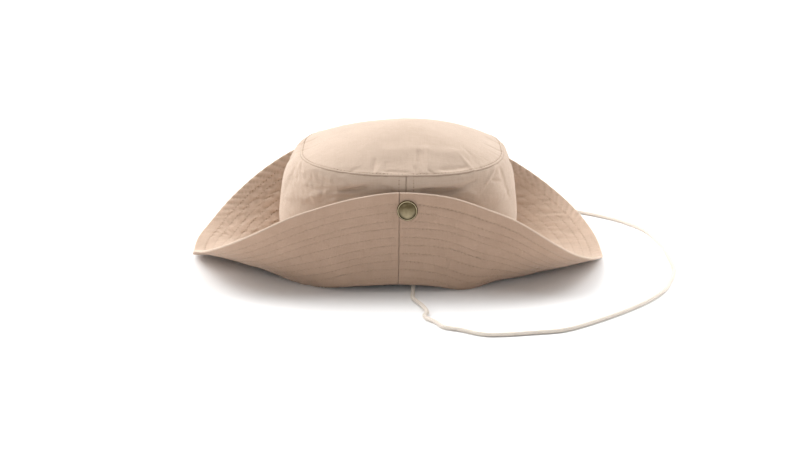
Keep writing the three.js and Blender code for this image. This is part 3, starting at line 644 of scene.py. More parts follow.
def crown_folds(at, row):
    """How far the folds alone lift the surface."""
    x = at * AT_MM
    y = np.where(row < 1, (row - 1) * 80, (row - 1) * 88)
    lift = np.zeros(np.broadcast(at, row).shape)
    for a0, r0, a1, r1, wide, deep in CROWN_FOLDS:
        mid = (a0 + a1) / 2
        px = ((at - mid + 180) % 360 - 180 + mid) * AT_MM
        fy = lambda r: (r - 1) * (80 if r < 1 else 88)
        ax, ay, bx, by = a0 * AT_MM, fy(r0), a1 * AT_MM, fy(r1)
        length = math.hypot(bx - ax, by - ay)
        ux, uy = (bx - ax) / length, (by - ay) / length
        along = (px - ax) * ux + (y - ay) * uy
        across = -(px - ax) * uy + (y - ay) * ux
        past = np.maximum(np.maximum(-along, along - length), 0)
        # A fold is widest in its middle and runs out to a point.
        t = np.clip(along / length, 0, 1)
        w = wide * (0.65 + 0.7 * t * (1 - t) * 2)
        if deep > 0 and r0 > 1:  # a hollow of the side: cloth hangs over its upper edge
            w = w * np.where(across * np.sign(ux) < 0, 0.6, 1.25)
        lift = lift - deep * np.exp(-((across / w) ** 2)) * np.exp(-((past / (0.22 * length + 0.6 * wide)) ** 2))
    return lift


def crown_lift(at, row, p):
    """How far the middle surface stands out of the crown's smooth form."""
    lift = crown_folds(at, row)
    y = np.where(row < 1, (row - 1) * 80, (row - 1) * 88)
    # Small gathers all along the top seam.
    d_seam = np.abs(y)
    ring = np.zeros(np.shape(at))
    for k, phase, size in ((31, 0.4, 0.5), (43, 2.1, 0.6), (58, 4.4, 0.7), (77, 1.2, 0.6), (96, 3.3, 0.4)):
        ring = ring + size * np.cos(np.radians(at) * k + phase)
    uneven = 0.5 + 0.5 * np.cos(np.radians(at) * 5 + 0.7) * np.cos(np.radians(at) * 3 + 2)
    lift += 0.15 * ring * (0.35 + 0.65 * uneven) * np.exp(-d_seam / np.where(row < 1, 7.0, 4.5)) * ease(d_seam / 1.6)
    # The slack of washed cotton.
    q = p / 24.0
    soft = noise(q[..., 0] + 0.37 * q[..., 2], q[..., 1] - 0.61 * q[..., 2], 71)
    q = p / 11.0
    soft2 = noise(q[..., 0] - 0.43 * q[..., 2], q[..., 1] + 0.57 * q[..., 2], 72)
    side = ease((row - 0.98) / 0.1)
    slack = (0.28 + 0.42 * side) * soft + (0.07 + 0.13 * side) * soft2
    # Creases of a side that was crushed and never pressed: sharp low lines between soft swellings.
    q = p / 7.5
    rough = noise(q[..., 0] - 0.5 * q[..., 1] + 0.4 * q[..., 2], 1.15 * q[..., 2] + 0.3 * q[..., 1], 73)
    q = p / 3.8
    rough2 = noise(q[..., 0] - 0.5 * q[..., 1] + 0.4 * q[..., 2], 1.15 * q[..., 2] + 0.3 * q[..., 1], 74)
    crushed = 0.70 * np.abs(rough) ** 0.8 + 0.45 * np.abs(rough2) ** 0.8
    where = 0.22 + 0.78 * ease((np.abs((at + 45 + 180) % 360 - 180) - 14) / -24 + 1)
    slack = slack + side * ease((1.62 - row) / 0.35) * where * crushed
    return lift + slack * ease(d_seam / 5) * ease((2.02 - row) / 0.2)


def crown_mid(at, row):
    at, row = np.broadcast_arrays(np.asarray(at, float), np.asarray(row, float))
    p, n = crown_plain(at, row), crown_normal(at, row)
    near = from_snaps(p)
    lift = crown_lift(at, row, p) * ease((near - 6) / 9)
    # Close to the top seam both panels move the same way, so that their edges stay together.
    other = crown_normal(at, np.where(row <= 1, 1.0005, 0.9999))
    d = np.where(row <= 1, (1 - row) * 80, (row - 1) * 88)
    way = unit(n + other * np.exp(-((d / 4.0) ** 2))[..., None])
    return p + way * lift[..., None], n, near


CROWN_STITCH_UP = 1.7  # the top seam's stitches, above the seam
CROWN_STITCH_ASIDE = 5.4  # the side seams' stitches, on each side of the seam


def seam_shade(at):
    """How deep the top seam's groove is and how much shade is painted into it: deep in some places, closed in others.
    """
    x = np.asarray(at, float) * AT_MM
    return 0.18 + 0.16 * np.clip(noise(x / 6.5, 0.5, 97) + 0.6 * noise(x / 2.1, 1.5, 98), -1, 1)


def crown_offset(at, row, face, near):
    off = np.full(np.shape(at), CROWN_CLOTH / 2)
    d = np.where(row < 1, (1 - row) * 80, (row - 1) * 88)
    if face > 0:
        top = (
            0.30 * np.exp(-(((d - 0.8) / 0.6) ** 2))
            - 0.26 * np.exp(-(((d - CROWN_STITCH_UP) / 0.42) ** 2))
            + 0.05 * ease((7.0 - d) / 3.5)
        )
        side = -(0.10 + 1.5 * (seam_shade(at) - 0.02)) * np.exp(-((d / 0.85) ** 2))
        off = off + np.where(row <= 1, top, side)
        # Two rows of stitches hold the allowances of each side seam flat.
        for seam in (CROWN_SEAM, 180 - CROWN_SEAM):
            a = ((at - seam + 180) % 360 - 180) * 1.42
            low = (row > 1) * np.exp(-(((np.abs(a) - CROWN_STITCH_ASIDE) / 0.55) ** 2))
            up = (row > 1) * ease((7.2 - np.abs(a)) / 1.2)
            off = off - 0.20 * low + 0.14 * up
        off = off + (SNAP_CLEAR + 0.08) * ease((6.2 - near) / 1.2)
    else:
        off = off + 0.5 * ease((5.6 - near) / 1.2)
        off = off + 0.25 * ease((7.0 - d) / 1.0)
    return off


def crown_face(at, row, face):
    at, row = np.broadcast_arrays(np.asarray(at, float), np.asarray(row, float))
    mid, n, near = crown_mid(at, row)
    off = crown_offset(at, row, face, near)
    return mid + face * n * off[..., None], n


# ---- shells --------------------------------------------------------------------------------


def shell(name, outer, inner, uv, tone, closed=False, pole=False, round_first=True, lips=3, marks=()):
    """A closed cloth shell from two grids of rows x columns. Its last row, and its first if
    round_first, end in a rounded lip. pole: the first row is one point. tone: painted shade
    (above 0) and painted highlight (below 0) on the outer grid, the inner grid and the last lip.
    The cloth of the inner grid is marked as the lit inner face, which takes painted light.
    marks: further attributes, each name, outer grid, inner grid."""
    rows, cols = outer.shape[:2]
    mid = (outer + inner) / 2

    def lip(i, k):
        out = unit(mid[i] - mid[k])
        half = np.linalg.norm(outer[i] - inner[i], axis=-1, keepdims=True) / 2
        up = unit(outer[i] - inner[i])
        rings = []
        for q in range(1, lips + 1):
            t = math.pi * q / (lips + 1)
            rings.append(mid[i] + half * (math.cos(t) * up + math.sin(t) * out))
        return rings

    loop, uvs, tones = [outer[i] for i in range(rows)], [uv[i] for i in range(rows)], [tone[0][i] for i in range(rows)]
    for ring in lip(rows - 1, rows - 2):
        loop.append(ring), uvs.append(uv[-1]), tones.append(tone[2])
    loop += [inner[i] for i in range(rows - 1, -1, -1)]
    uvs += [uv[i] for i in range(rows - 1, -1, -1)]
    tones += [tone[1][i] for i in range(rows - 1, -1, -1)]
    if not pole and round_first:
        for ring in lip(0, 1)[::-1]:
            loop.append(ring), uvs.append(uv[0]), tones.append(np.zeros(cols))
    n = len(loop)
    more = {}
    for key, out, into in marks:
        last = 0 if pole or not round_first else lips
        strip = [out, np.repeat(out[-1:] * 0, lips, 0), into[::-1], np.repeat(into[:1] * 0, last, 0)]
        more[key] = np.concatenate(strip).reshape(-1)
    lit_inner_face = np.ones(n)
    lit_inner_face[:rows] = 0.0
    lit_inner_face[rows:rows + lips] = np.linspace(0, 1, lips + 2)[1:-1]
    points = np.array(loop).reshape(-1, 3)
    faces = grid_faces(n, cols, closed_cols=closed, closed_rows=not pole)
    return make_object(
        name, place(points), faces, np.array(uvs).reshape(-1, 2) * 0.001,
        {"painted_shade_and_highlight": np.array(tones).reshape(-1), "lit_inner_face": np.repeat(lit_inner_face, cols), **more}, merge=4e-6,
    )


def taper(distance, reach=1.1):
    """Share of the thickness that is left this far from a seam's end of a piece."""
    t = np.clip(distance / reach, 0, 1)
    return np.sqrt(np.clip(1 - (1 - t) ** 2, 0, 1))


def runs_of(line, normal, keep, seed, least, away):
    """The stretches of a line that carry stitches: indices, points, normals and a seed."""
    runs = []
    cuts = np.flatnonzero(np.diff(keep.astype(int)) != 0) + 1
    for q, part in enumerate(np.split(np.arange(len(line)), cuts)):
        if len(part) > least and keep[part[0]]:
            runs.append((part, line[part] + away * normal[part], normal[part], seed + q))
    return runs


def brim_row(start, k, face):
    at = np.linspace(start + 0.8, start + 179.2, 900)
    p, n = brim_face(at, quilt_s(at, k), face)
    keep = from_snaps(p) > (9.2 if face > 0 else 6.4)
    return at, runs_of(p, face * n, keep, 3.1 * k + face, 20, 0.10)


def stitch_starts(line, pitch):
    """Length along a line at its points, and where the first of its n stitches begins."""
    along = np.concatenate([[0], np.cumsum(np.linalg.norm(np.diff(line, axis=0), axis=1))])
    n = int((along[-1] - 1.0) / pitch)
    return along, n, 0.5 * (along[-1] - n * pitch)


def stitch_count(where, place_of, runs, pitch):
    """How many stitches lie between a run's start and each place; half a stitch where none are."""
    count = np.full(np.shape(where), 0.5)
    for part, line, _, _ in runs:
        along, n, first = stitch_starts(line, pitch)
        x = place_of[part]
        here = (where >= x[0]) & (where <= x[-1])
        turns = (np.interp(where, x, along) - first) / pitch
        count = np.where(here, np.clip(turns, -0.5, n + 0.5), count)
    return count


def brim_half(name, start, end):
    near_end = np.array([0, 0.06, 0.14, 0.26, 0.42, 0.64, 0.95])
    middle = np.linspace(1.4, 178.6, 560)
    at = np.concatenate([near_end, middle, 180 - near_end[::-1]]) + start
    # Rows: dense at each line of stitches.
    lines = BRIM_WIDTH - QUILT[::-1]
    s = [-CROWN_CLOTH / 2 - 0.25, 0.6, 2.2, 4.2, 6.0, 7.8]
    for k, line in enumerate(lines):
        s += [line - 1.15, line - 0.55, line, line + 0.55, line + 1.15]
        nxt = lines[k + 1] if k + 1 < len(lines) else BRIM_WIDTH - 0.9
        gap = (nxt - 1.15) - (line + 1.15)
        parts = max(2, int(round(gap / 2.1)))
        s += [line + 1.15 + gap * q / parts for q in range(1, parts)]
    s += [BRIM_WIDTH - 2.4, BRIM_WIDTH - 1.6, BRIM_WIDTH - 1.05]
    s = np.unique(np.round(s, 3))
    S = np.broadcast_to(s, (len(at), len(s)))
    shift = np.zeros_like(S)  # the grid follows the rows of stitches
    for k in range(len(QUILT)):
        d = S - (BRIM_WIDTH - QUILT[k])
        shift = shift + wander(at, k)[:, None] * ease(1 - np.abs(d) / 3.2)
    S = np.minimum(S + shift, BRIM_WIDTH - 0.85)
    lower, _ = brim_face(at, S, 1)
    upper, _ = brim_face(at, S, -1)
    mid = (lower + upper) / 2
    # Both halves meet along the side seam in a sharp groove.
    mm = np.linalg.norm(brim_plain(at, S) - brim_plain(np.full_like(at, start), S), axis=-1)
    mm2 = np.linalg.norm(brim_plain(at, S) - brim_plain(np.full_like(at, end), S), axis=-1)
    k = taper(np.minimum(mm, mm2))[..., None]
    lower, upper = mid + (lower - mid) * k, mid + (upper - mid) * k
    rows, first_row = np.zeros_like(S), np.zeros_like(S)
    count = {1: np.full_like(S, 0.5), -1: np.full_like(S, 0.5)}
    nearest = np.full_like(S, 1e9)
    for q in range(len(QUILT)):
        d = np.abs(S - quilt_s(at[:, None], q))
        rows = np.maximum(rows, np.exp(-((d / 0.6) ** 2)))
        first_row = np.maximum(first_row, (q == 0) * np.exp(-((d / 0.6) ** 2)))
        for face in count:
            place_of, runs = brim_row(start, q, face)
            here = stitch_count(at, place_of, runs, STITCH)
            count[face] = np.where(d < nearest, here[:, None], count[face])
        nearest = np.minimum(nearest, d)
    row_mark = np.exp(-((nearest / 0.85) ** 2)) * (1 - 0.8 * at_tips(at))[:, None]
    rows = rows * (1 - 0.7 * at_tips(at))[:, None]
    # Painted shade along the rows of stitches, at the side seam and in the valleys of the pleats and ropes, patchy
    # along the rows of the upper face.
    seam = np.exp(-((np.minimum(mm, mm2) / 0.5) ** 2))
    strong = 0.50 if start == 0 else 0.05
    under = np.maximum(0.10 * rows + strong * first_row, 0.8 * seam)
    shade = 0.55 * np.clip(-pleats(at[:, None], S) - 0.05, 0, 1) + 0.8 * np.clip(-roping(at[:, None], S) - 0.1, 0, 1)
    u = np.radians(at[:, None]) * (FLAT_RADIUS + S)
    patchy = np.clip(noise(u / 6.5, S / 7.0, 93) + 0.1, 0, 1)
    over = np.maximum(0.04 * rows + 0.40 * patchy * rows + shade, seam)
    phi = np.radians(at - start)[:, None]
    r = FLAT_RADIUS + S
    uv = np.stack([r * np.cos(phi), r * np.sin(phi)], -1)
    to = lambda x: np.swapaxes(x, 0, 1)
    # The hem's rounded lip gets a painted highlight (-0.9).
    tone = (to(under), to(over), np.full(len(at), -0.9))
    seen_under, seen_over = (0.5, 0.85) if start < 0 else (1.0, 0.4)
    marks = (("row", to(seen_under * row_mark), to(seen_over * row_mark)), ("count", to(count[1]), to(count[-1])))
    return shell(name, to(lower), to(upper), to(uv), tone, marks=marks)


def crown_seam_row():
    """The stitches above the top seam."""
    at = np.linspace(-180, 180, 1401)
    p, n = crown_face(at, np.full_like(at, 1 - CROWN_STITCH_UP / 80), 1)
    return at, runs_of(p, n, np.full(len(at), True), 7.7, 20, 0.10)


def crown_side_row(seam, side):
    row = 1 + np.linspace(1.5, 86, 160) / 88
    p, n = crown_face(np.full_like(row, seam + side * CROWN_STITCH_ASIDE / 1.42), row, 1)
    return row, runs_of(p, n, from_snaps(p) > 6.4, seam + side, 8, 0.10)


CROWN_STITCH = 3.0


def crown_side_half(name, start, end):
    span = end - start
    edge = np.array([0, 0.1, 0.22, 0.4, 0.65, 1.0, 1.5, 2.4]) / 1.42
    seam = (CROWN_STITCH_ASIDE + np.array([-1.4, -0.9, -0.45, 0, 0.45, 0.9, 1.4, 1.9])) / 1.42
    first = np.concatenate([edge, seam])
    middle = np.linspace(first[-1] + 0.7, span - first[-1] - 0.7, 262)
    at = np.concatenate([first, middle, span - first[::-1]]) + start
    d = np.array([0.15, 0.4, 0.7, 1.1, 1.6, 2.2, 3.0])
    d = np.concatenate([d, np.linspace(3.9, 42, 42), np.linspace(43.2, 86.6, 32), [87.7, 88.2]])
    row = 1 + d / 88
    A, R = np.meshgrid(at, row, indexing="xy")
    outer, _ = crown_face(A, R, 1)
    inner, _ = crown_face(A, R, -1)
    mid = (outer + inner) / 2
    mm = np.minimum(A - start, end - A) * 1.42
    k = taper(mm)[..., None]
    outer, inner = mid + (outer - mid) * k, mid + (inner - mid) * k
    # Painted shade at the side seams, in the top seam's groove, along the stitch rows and in the hollows of the folds.
    deep = 0.9 * np.exp(-((mm / 0.5) ** 2)) + seam_shade(A) * np.exp(-((((R - 1) * 88) / 0.55) ** 2))
    deep = deep + 0.10 * np.exp(-(((mm - CROWN_STITCH_ASIDE) / 0.5) ** 2))
    deep = deep + 0.42 * ease((-crown_folds(A, R) - 0.8) / 2.2)
    count = np.full_like(A, 0.5)
    for at_seam, side, here in ((start, 1, A - start < 12), (end, -1, end - A < 12)):
        place_of, runs = crown_side_row(at_seam, side)
        count = np.where(here, stitch_count(row, place_of, runs, CROWN_STITCH)[:, None], count)
    row_mark = np.exp(-(((mm - CROWN_STITCH_ASIDE) / 0.8) ** 2))
    uv = np.stack([(A - start) * 1.6, (R - 1) * 88], -1)
    marks = (("row", 0.8 * row_mark, row_mark * 0), ("count", count, count))
    tone = (np.clip(deep, 0, 1), deep * 0, np.zeros(len(at)))
    return shell(name, outer, inner, uv, tone, marks=marks)


def crown_top():
    at = np.linspace(-180, 180, 468, endpoint=False)
    d = np.array([0.25, 0.5, 0.8, 1.1, 1.4, 1.7, 2.0, 2.3, 2.8, 3.6, 4.6, 6.0, 7.4])
    d = np.concatenate([d, np.linspace(8.8, 24, 12), np.linspace(25.8, 72, 24), [75, 77.5, 80.0]])[::-1]
    row = 1 - d / 80
    A, R = np.meshgrid(at, row, indexing="xy")
    outer, _ = crown_face(A, R, 1)
    inner, _ = crown_face(A, R, -1)
    outer[0], inner[0] = outer[0].mean(0), inner[0].mean(0)
    D = (1 - R) * 80
    # Painted shade in the top seam's groove and along its stitches; the lip at the seam is painted fully dark.
    deep = (0.1 + seam_shade(A)) * np.exp(-((D / 0.3) ** 2)) + 0.14 * np.exp(-(((D - CROWN_STITCH_UP) / 0.45) ** 2))
    place_of, runs = crown_seam_row()
    count = np.broadcast_to(stitch_count(at, place_of, runs, CROWN_STITCH), A.shape)
    row_mark = np.exp(-(((D - CROWN_STITCH_UP) / 0.7) ** 2))
    uv = outer[..., :2] * 1.0
    return shell(
        "domed_crown_top", outer, inner, uv,
        (np.clip(deep, 0, 1), deep * 0, np.ones(len(at))), closed=True, pole=True,
        marks=(("row", row_mark, row_mark * 0), ("count", count, count)),
    )


top_piece = crown_top()
side_front = crown_side_half("crown_side_cloth_front", -180 - CROWN_SEAM, CROWN_SEAM)
side_back = crown_side_half("crown_side_cloth_back", CROWN_SEAM, 180 - CROWN_SEAM)
brim_f = brim_half("quilted_brim_front", -180.0, 0.0)
brim_b = brim_half("quilted_brim_back", 0.0, 180.0)
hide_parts("crown_top")
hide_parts("crown_side_front")
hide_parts("crown_side_back")
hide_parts("brim_front")
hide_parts("brim_back")

# ---- stitches ------------------------------------------------------------------------------

THREAD = 0.2  # radius
RINGS = np.array([[-0.5, 0.5, -0.13], [-0.30, 1.0, 0.05], [0.30, 1.0, 0.05], [0.5, 0.5, -0.13]])
SIDES = 5


def stitches(runs, pitch=STITCH, length=2.45):
    """Points and faces of every stitch along the runs, each (points, normals) of a line."""
    points, faces, shaded_hole, count = [], [], [], 0
    for _, line, normal, seed in runs:
        along, n, first = stitch_starts(line, pitch)
        if n < 1:
            continue
        start = first + pitch * (np.arange(n) + 0.5) + 0.12 * noise(np.arange(n) * 0.7, seed, 81)
        size = length * (1 + 0.10 * noise(np.arange(n) * 0.9, seed, 82))
        t = start[:, None] + RINGS[:, 0] * size[:, None]
        pos = np.stack([np.interp(t, along, line[:, k]) for k in range(3)], -1)
        nor = unit(np.stack([np.interp(t, along, normal[:, k]) for k in range(3)], -1))
        tan = unit(pos[:, -1:] - pos[:, :1])
        side = unit(np.cross(nor, tan))
        skew = 0.10 * noise(np.arange(n) * 1.3, seed, 83)[:, None, None] * RINGS[:, 0][None, :, None]
        centre = pos + nor * RINGS[:, 2][None, :, None] + side * skew
        a = np.linspace(0, 2 * math.pi, SIDES, endpoint=False)
        ring = (
            np.cos(a)[None, None, :, None] * side[:, :, None]
            + np.sin(a)[None, None, :, None] * nor[:, :, None]
        ) * (THREAD * RINGS[:, 1])[None, :, None, None]
        p = (centre[:, :, None] + ring).reshape(-1, 3)
        tube = grid_faces(len(RINGS), SIDES, closed_cols=True)
        block = len(RINGS) * SIDES
        base = count + np.arange(n)[:, None, None] * block
        faces += (tube[None] + base).reshape(-1, 4).tolist()
        caps = np.array([list(range(SIDES)), [block - 1 - q for q in range(SIDES)]])
        faces += (caps[None] + base).reshape(-1, SIDES).tolist()
        points.append(p)
        # The thread's ends, where it goes into the cloth, get painted shade.
        shaded_hole.append(np.tile(np.repeat([1.0, 0.0, 0.0, 1.0], SIDES), n))
        count += len(p)
    return np.vstack(points), faces, np.concatenate(shaded_hole)


stitch_pieces = []
for label, start in (("front", -180.0), ("back", 0.0)):
    for side, face in (("under", 1), ("upper", -1)):
        runs = [run for k in range(len(QUILT)) for run in brim_row(start, k, face)[1]]
        p, f, shaded_hole = stitches(runs)
        p[:, 2] = np.maximum(p[:, 2], 0.02)
        stitch_pieces.append(
            make_object(f"quilting_{side}_{label}", place(p), f, None, {"painted_shade_and_highlight": shaded_hole})
        )
runs = crown_seam_row()[1]
for seam in (CROWN_SEAM, 180 - CROWN_SEAM):
    for side in (-1, 1):
        runs = runs + crown_side_row(seam, side)[1]
p, f, shaded_hole = stitches(runs, CROWN_STITCH, 2.2)
stitch_pieces.append(
    make_object("crown_stitching", place(p), f, None, {"painted_shade_and_highlight": shaded_hole})
)

# ---- snaps ---------------------------------------------------------------------------------


def lathe(name, profile, frame_of, lift, segments=96, tone=None, lean=None):
    """A turned piece. profile is radius, height; its first and last points are on the axis.
    tone: wear of each point of the profile. lean: how much more of it lies in the lower half, which is painted light
    there and painted shade in the upper half."""
    centre, axis, _ = frame_of
    side = unit(np.cross(axis, [0.0, 0.0, 1.0]))
    up = np.cross(side, axis)
    profile = np.asarray(profile, float)
    body = profile[1:-1]
    a = np.linspace(0, 2 * math.pi, segments, endpoint=False)
    ring = np.cos(a)[:, None] * side + np.sin(a)[:, None] * up
    p = centre + axis * (body[:, 1] + lift)[:, None, None] + ring[None] * body[:, 0][:, None, None]
    points = p.reshape(-1, 3)
    ends = centre + axis * (profile[[0, -1], 1] + lift)[:, None]
    faces = grid_faces(len(body), segments, closed_cols=True).tolist()
    n = len(points)
    last = (len(body) - 1) * segments
    for j in range(segments):
        k = (j + 1) % segments
        faces.append((n, j, k))
        faces.append((n + 1, last + k, last + j))
    points = np.vstack([points, ends])
    t = np.zeros(len(profile)) if tone is None else np.asarray(tone, float)
    more = np.zeros(len(profile)) if lean is None else np.asarray(lean, float)
    # Painted light on the lower half of each ring and painted shade on its upper half, as much as lean gives.
    ring_wear_and_painted_light = t[1:-1, None] - more[1:-1, None] * np.sin(a)[None] * (body[:, 0] / body[:, 0].max())[:, None]
    values = np.concatenate([np.clip(ring_wear_and_painted_light, 0, 1).reshape(-1), [t[0], t[-1]]])
    return make_object(name, place(points), faces, None, {"wear_and_painted_light": values})


def rounded(corners, radius, steps=4):
    """A profile with its inner corners rounded."""
    c = np.asarray(corners, float)
    out = [c[0]]
    for i in range(1, len(c) - 1):
        a, b, d = c[i - 1], c[i], c[i + 1]
        ab, db = np.linalg.norm(a - b), np.linalg.norm(d - b)
        r = min(radius, 0.45 * ab, 0.45 * db)
        p, q = b + (a - b) / ab * r, b + (d - b) / db * r
        for k in range(steps + 1):
            t = k / steps
            out.append((1 - t) ** 2 * p + 2 * t * (1 - t) * b + t**2 * q)
    out.append(c[-1])
    return np.array(out)


CAP_R = 8.6
cap_profile = rounded(
    [
        (0, 0.05), (CAP_R - 1.6, 0.0), (CAP_R - 0.3, 0.12), (CAP_R, 0.45), (CAP_R - 0.08, 0.95),
        (CAP_R - 0.55, 1.60), (CAP_R - 0.72, 2.18), (CAP_R - 1.10, 2.2), (CAP_R - 1.40, 1.72),
        (CAP_R - 2.0, 1.22), (CAP_R - 3.0, 0.84), (3.4, 0.56), (1.2, 0.44), (0.5, 0.42), (0, 0.42),
    ],
    0.32,
)
# Bare metal on the rubbed rim and tarnish on both slopes. The dish is painted lighter in its lower half and darker in
# its upper half: painted light below and painted shade under the rim.
in_dish = ease((CAP_R - 1.15 - cap_profile[:, 0]) / 1.0) * (cap_profile[:, 1] > 0.2)
cap_tone = np.clip((cap_profile[:, 1] - 1.85) / 0.3, 0, 1) + 0.18 * in_dish
snap_pieces = []
for side, spot in SNAPS.items():
    back_to = spot[2]
    cap = lathe(
        f"dished_snap_cap_{side}", cap_profile, spot, BRIM_CLOTH / 2 + SNAP_CLEAR, 96, cap_tone, 0.55 * in_dish
    )
    top, foot = -BRIM_CLOTH / 2 - SNAP_CLEAR, -back_to + CROWN_CLOTH / 2 + SNAP_CLEAR + 0.15
    flange = -back_to - CROWN_CLOTH / 2 - SNAP_CLEAR - 0.15
    split = (top + foot) / 2
    stud = lathe(
        f"snap_stud_pair_{side}",
        rounded(
            [
                (0, flange - 1.0), (4.6, flange - 1.0), (5.0, flange - 0.6), (5.0, flange), (2.2, flange + 0.05),
                (2.2, foot - 0.05), (5.3, foot), (5.5, foot + 0.5), (5.3, split - 0.5), (4.7, split - 0.25),
                (4.7, split + 0.1), (5.3, split + 0.4), (5.5, top - 0.5), (5.2, top), (2.2, top + 0.05),
                (2.2, BRIM_CLOTH / 2 + 0.1), (0, BRIM_CLOTH / 2 + 0.1),
            ],
            0.2, 3,
        ),
        spot, 0.0, 56,
    )
    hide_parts(f"snap_cap_{side}")
    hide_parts(f"snap_stud_{side}")
    snap_pieces += [cap, stud]

# ---- the tapes that hold the cord's ends ---------------------------------------------------

TAB_SIZE = np.array([11.0, 4.4, 15.0])
tab_pieces = []
for side, name in ((-1, "near"), (1, "far")):
    n = 18
    g = np.linspace(-1, 1, n)
    points, faces = [], []
    for axis in range(3):
        for sign in (-1, 1):
            A, B = np.meshgrid(g, g, indexing="ij")
            q = np.zeros((n, n, 3))
            q[..., axis], q[..., (axis + 1) % 3], q[..., (axis + 2) % 3] = sign, A, B
            block = grid_faces(n, n, start=len(points) * n * n)
            faces.append(block if sign > 0 else block[:, ::-1])
            points.append(q.reshape(-1, 3))
    q = np.vstack(points)
    q = q / (np.abs(q) ** 7).sum(1, keepdims=True) ** (1 / 7)
    lean = math.radians(-12)
    into = np.array([0, -side * math.cos(lean), -math.sin(lean)])
    up = np.array([0, -side * math.sin(lean), math.cos(lean)])
    # A fold of tape: its two layers part a little at the lower end, round the cord.
    half = TAB_SIZE / 2
    waist = 1 - 0.16 * ease((q[:, 2] + 0.4) / 1.2) - 0.10 * np.exp(-((q[:, 2] / 0.25) ** 2))
    p = (
        np.array([12.0, side * 70.4, 9.35])
        + q[:, :1] * half[0] * np.array([1.0, 0, 0])
        + (q[:, 1] * waist * half[1])[:, None] * into
        + ((q[:, 2] + 1) * half[2])[:, None] * up
    )
    # Painted shade along a thin line across the middle of the tape, where it is pinched.
    tab = make_object(
        f"cord_tape_{name}", place(p), np.vstack(faces),
        np.stack([q[:, 0] * half[0], q[:, 2] * half[2]], 1) * 0.001,
        {"painted_shade_and_highlight": np.exp(-((q[:, 2] / 0.1) ** 2)) * 0.8}, merge=4e-6,
    )
    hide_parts(f"cord_tab_{name}")
    tab_pieces.append(tab)

# ---- materials -----------------------------------------------------------------------------


class Nodes:
    """A short way to write a material's node tree."""

    def __init__(self, name):
        self.mat = bpy.data.materials.new(name)
        self.mat.use_nodes = True
        self.tree = self.mat.node_tree
        self.tree.nodes.clear()
        self.out = self.tree.nodes.new("ShaderNodeOutputMaterial")
        self.shader = self.tree.nodes.new("ShaderNodeBsdfPrincipled")
        self.tree.links.new(self.shader.outputs[0], self.out.inputs[0])

    def put(self, socket, value):
        if isinstance(value, bpy.types.NodeSocket):
            self.tree.links.new(value, socket)
        else:
            socket.default_value = value

    def math(self, op, *values, clamp=False):
        n = self.tree.nodes.new("ShaderNodeMath")
        n.operation, n.use_clamp = op, clamp
        for i, v in enumerate(values):
            self.put(n.inputs[i], v)
        return n.outputs[0]

    def vector(self, op, *values):
        n = self.tree.nodes.new("ShaderNodeVectorMath")
        n.operation = op
        for i, v in enumerate(values):
            self.put(n.inputs[i], v)
        return n.outputs[0]

    def noise(self, vector, scale, detail=3.0, rough=0.5, size=2):
        n = self.tree.nodes.new("ShaderNodeTexNoise")
        n.noise_dimensions = f"{size}D"
        self.put(n.inputs["Vector"], vector)
        n.inputs["Scale"].default_value = scale
        n.inputs["Detail"].default_value = detail
        n.inputs["Roughness"].default_value = rough
        return n.outputs[0]

    def spread(self, value, lo, hi, to_lo, to_hi):
        n = self.tree.nodes.new("ShaderNodeMapRange")
        for i, v in enumerate((value, lo, hi, to_lo, to_hi)):
            self.put(n.inputs[i], v)
        return n.outputs[0]

    def mix(self, factor, a, b, kind="MIX"):
        n = self.tree.nodes.new("ShaderNodeMix")
        n.data_type, n.blend_type = "RGBA", kind
        self.put(n.inputs[0], factor)
        self.put(n.inputs[6], a if isinstance(a, bpy.types.NodeSocket) else (*a, 1.0))
        self.put(n.inputs[7], b if isinstance(b, bpy.types.NodeSocket) else (*b, 1.0))
        return n.outputs[2]

    def attribute(self, name):
        n = self.tree.nodes.new("ShaderNodeAttribute")
        n.attribute_name = name
        return n.outputs["Fac"]

    def cloth_mm(self):
        """The cloth's own flat coordinates, in millimetres."""
        n = self.tree.nodes.new("ShaderNodeUVMap")
        n.uv_map = "cloth"
        return self.vector("MULTIPLY", n.outputs[0], (1000.0, 1000.0, 0.0))

    def place_mm(self):
        n = self.tree.nodes.new("ShaderNodeTexCoord")
        return self.vector("MULTIPLY", n.outputs["Object"], (1000.0, 1000.0, 1000.0))

    def parts(self, vector):
        n = self.tree.nodes.new("ShaderNodeSeparateXYZ")
        self.put(n.inputs[0], vector)
        return n.outputs[0], n.outputs[1]

    def together(self, x, y):
        n = self.tree.nodes.new("ShaderNodeCombineXYZ")
        self.put(n.inputs[0], x), self.put(n.inputs[1], y)
        return n.outputs[0]

    def bump(self, height, strength, distance, below=None):
        n = self.tree.nodes.new("ShaderNodeBump")
        n.inputs["Strength"].default_value = strength
        n.inputs["Distance"].default_value = distance
        self.put(n.inputs["Height"], height)
        if below is not None:
            self.put(n.inputs["Normal"], below)
        return n.outputs[0]

    def finish(self, **values):
        for key, value in values.items():
            socket = self.shader.inputs[key.replace("_", " ")]
            if isinstance(value, tuple) and len(value) == 3:
                value = (*value, 1.0)
            self.put(socket, value)
        return self.mat


YARN = 0.42  # mm from one yarn to the next


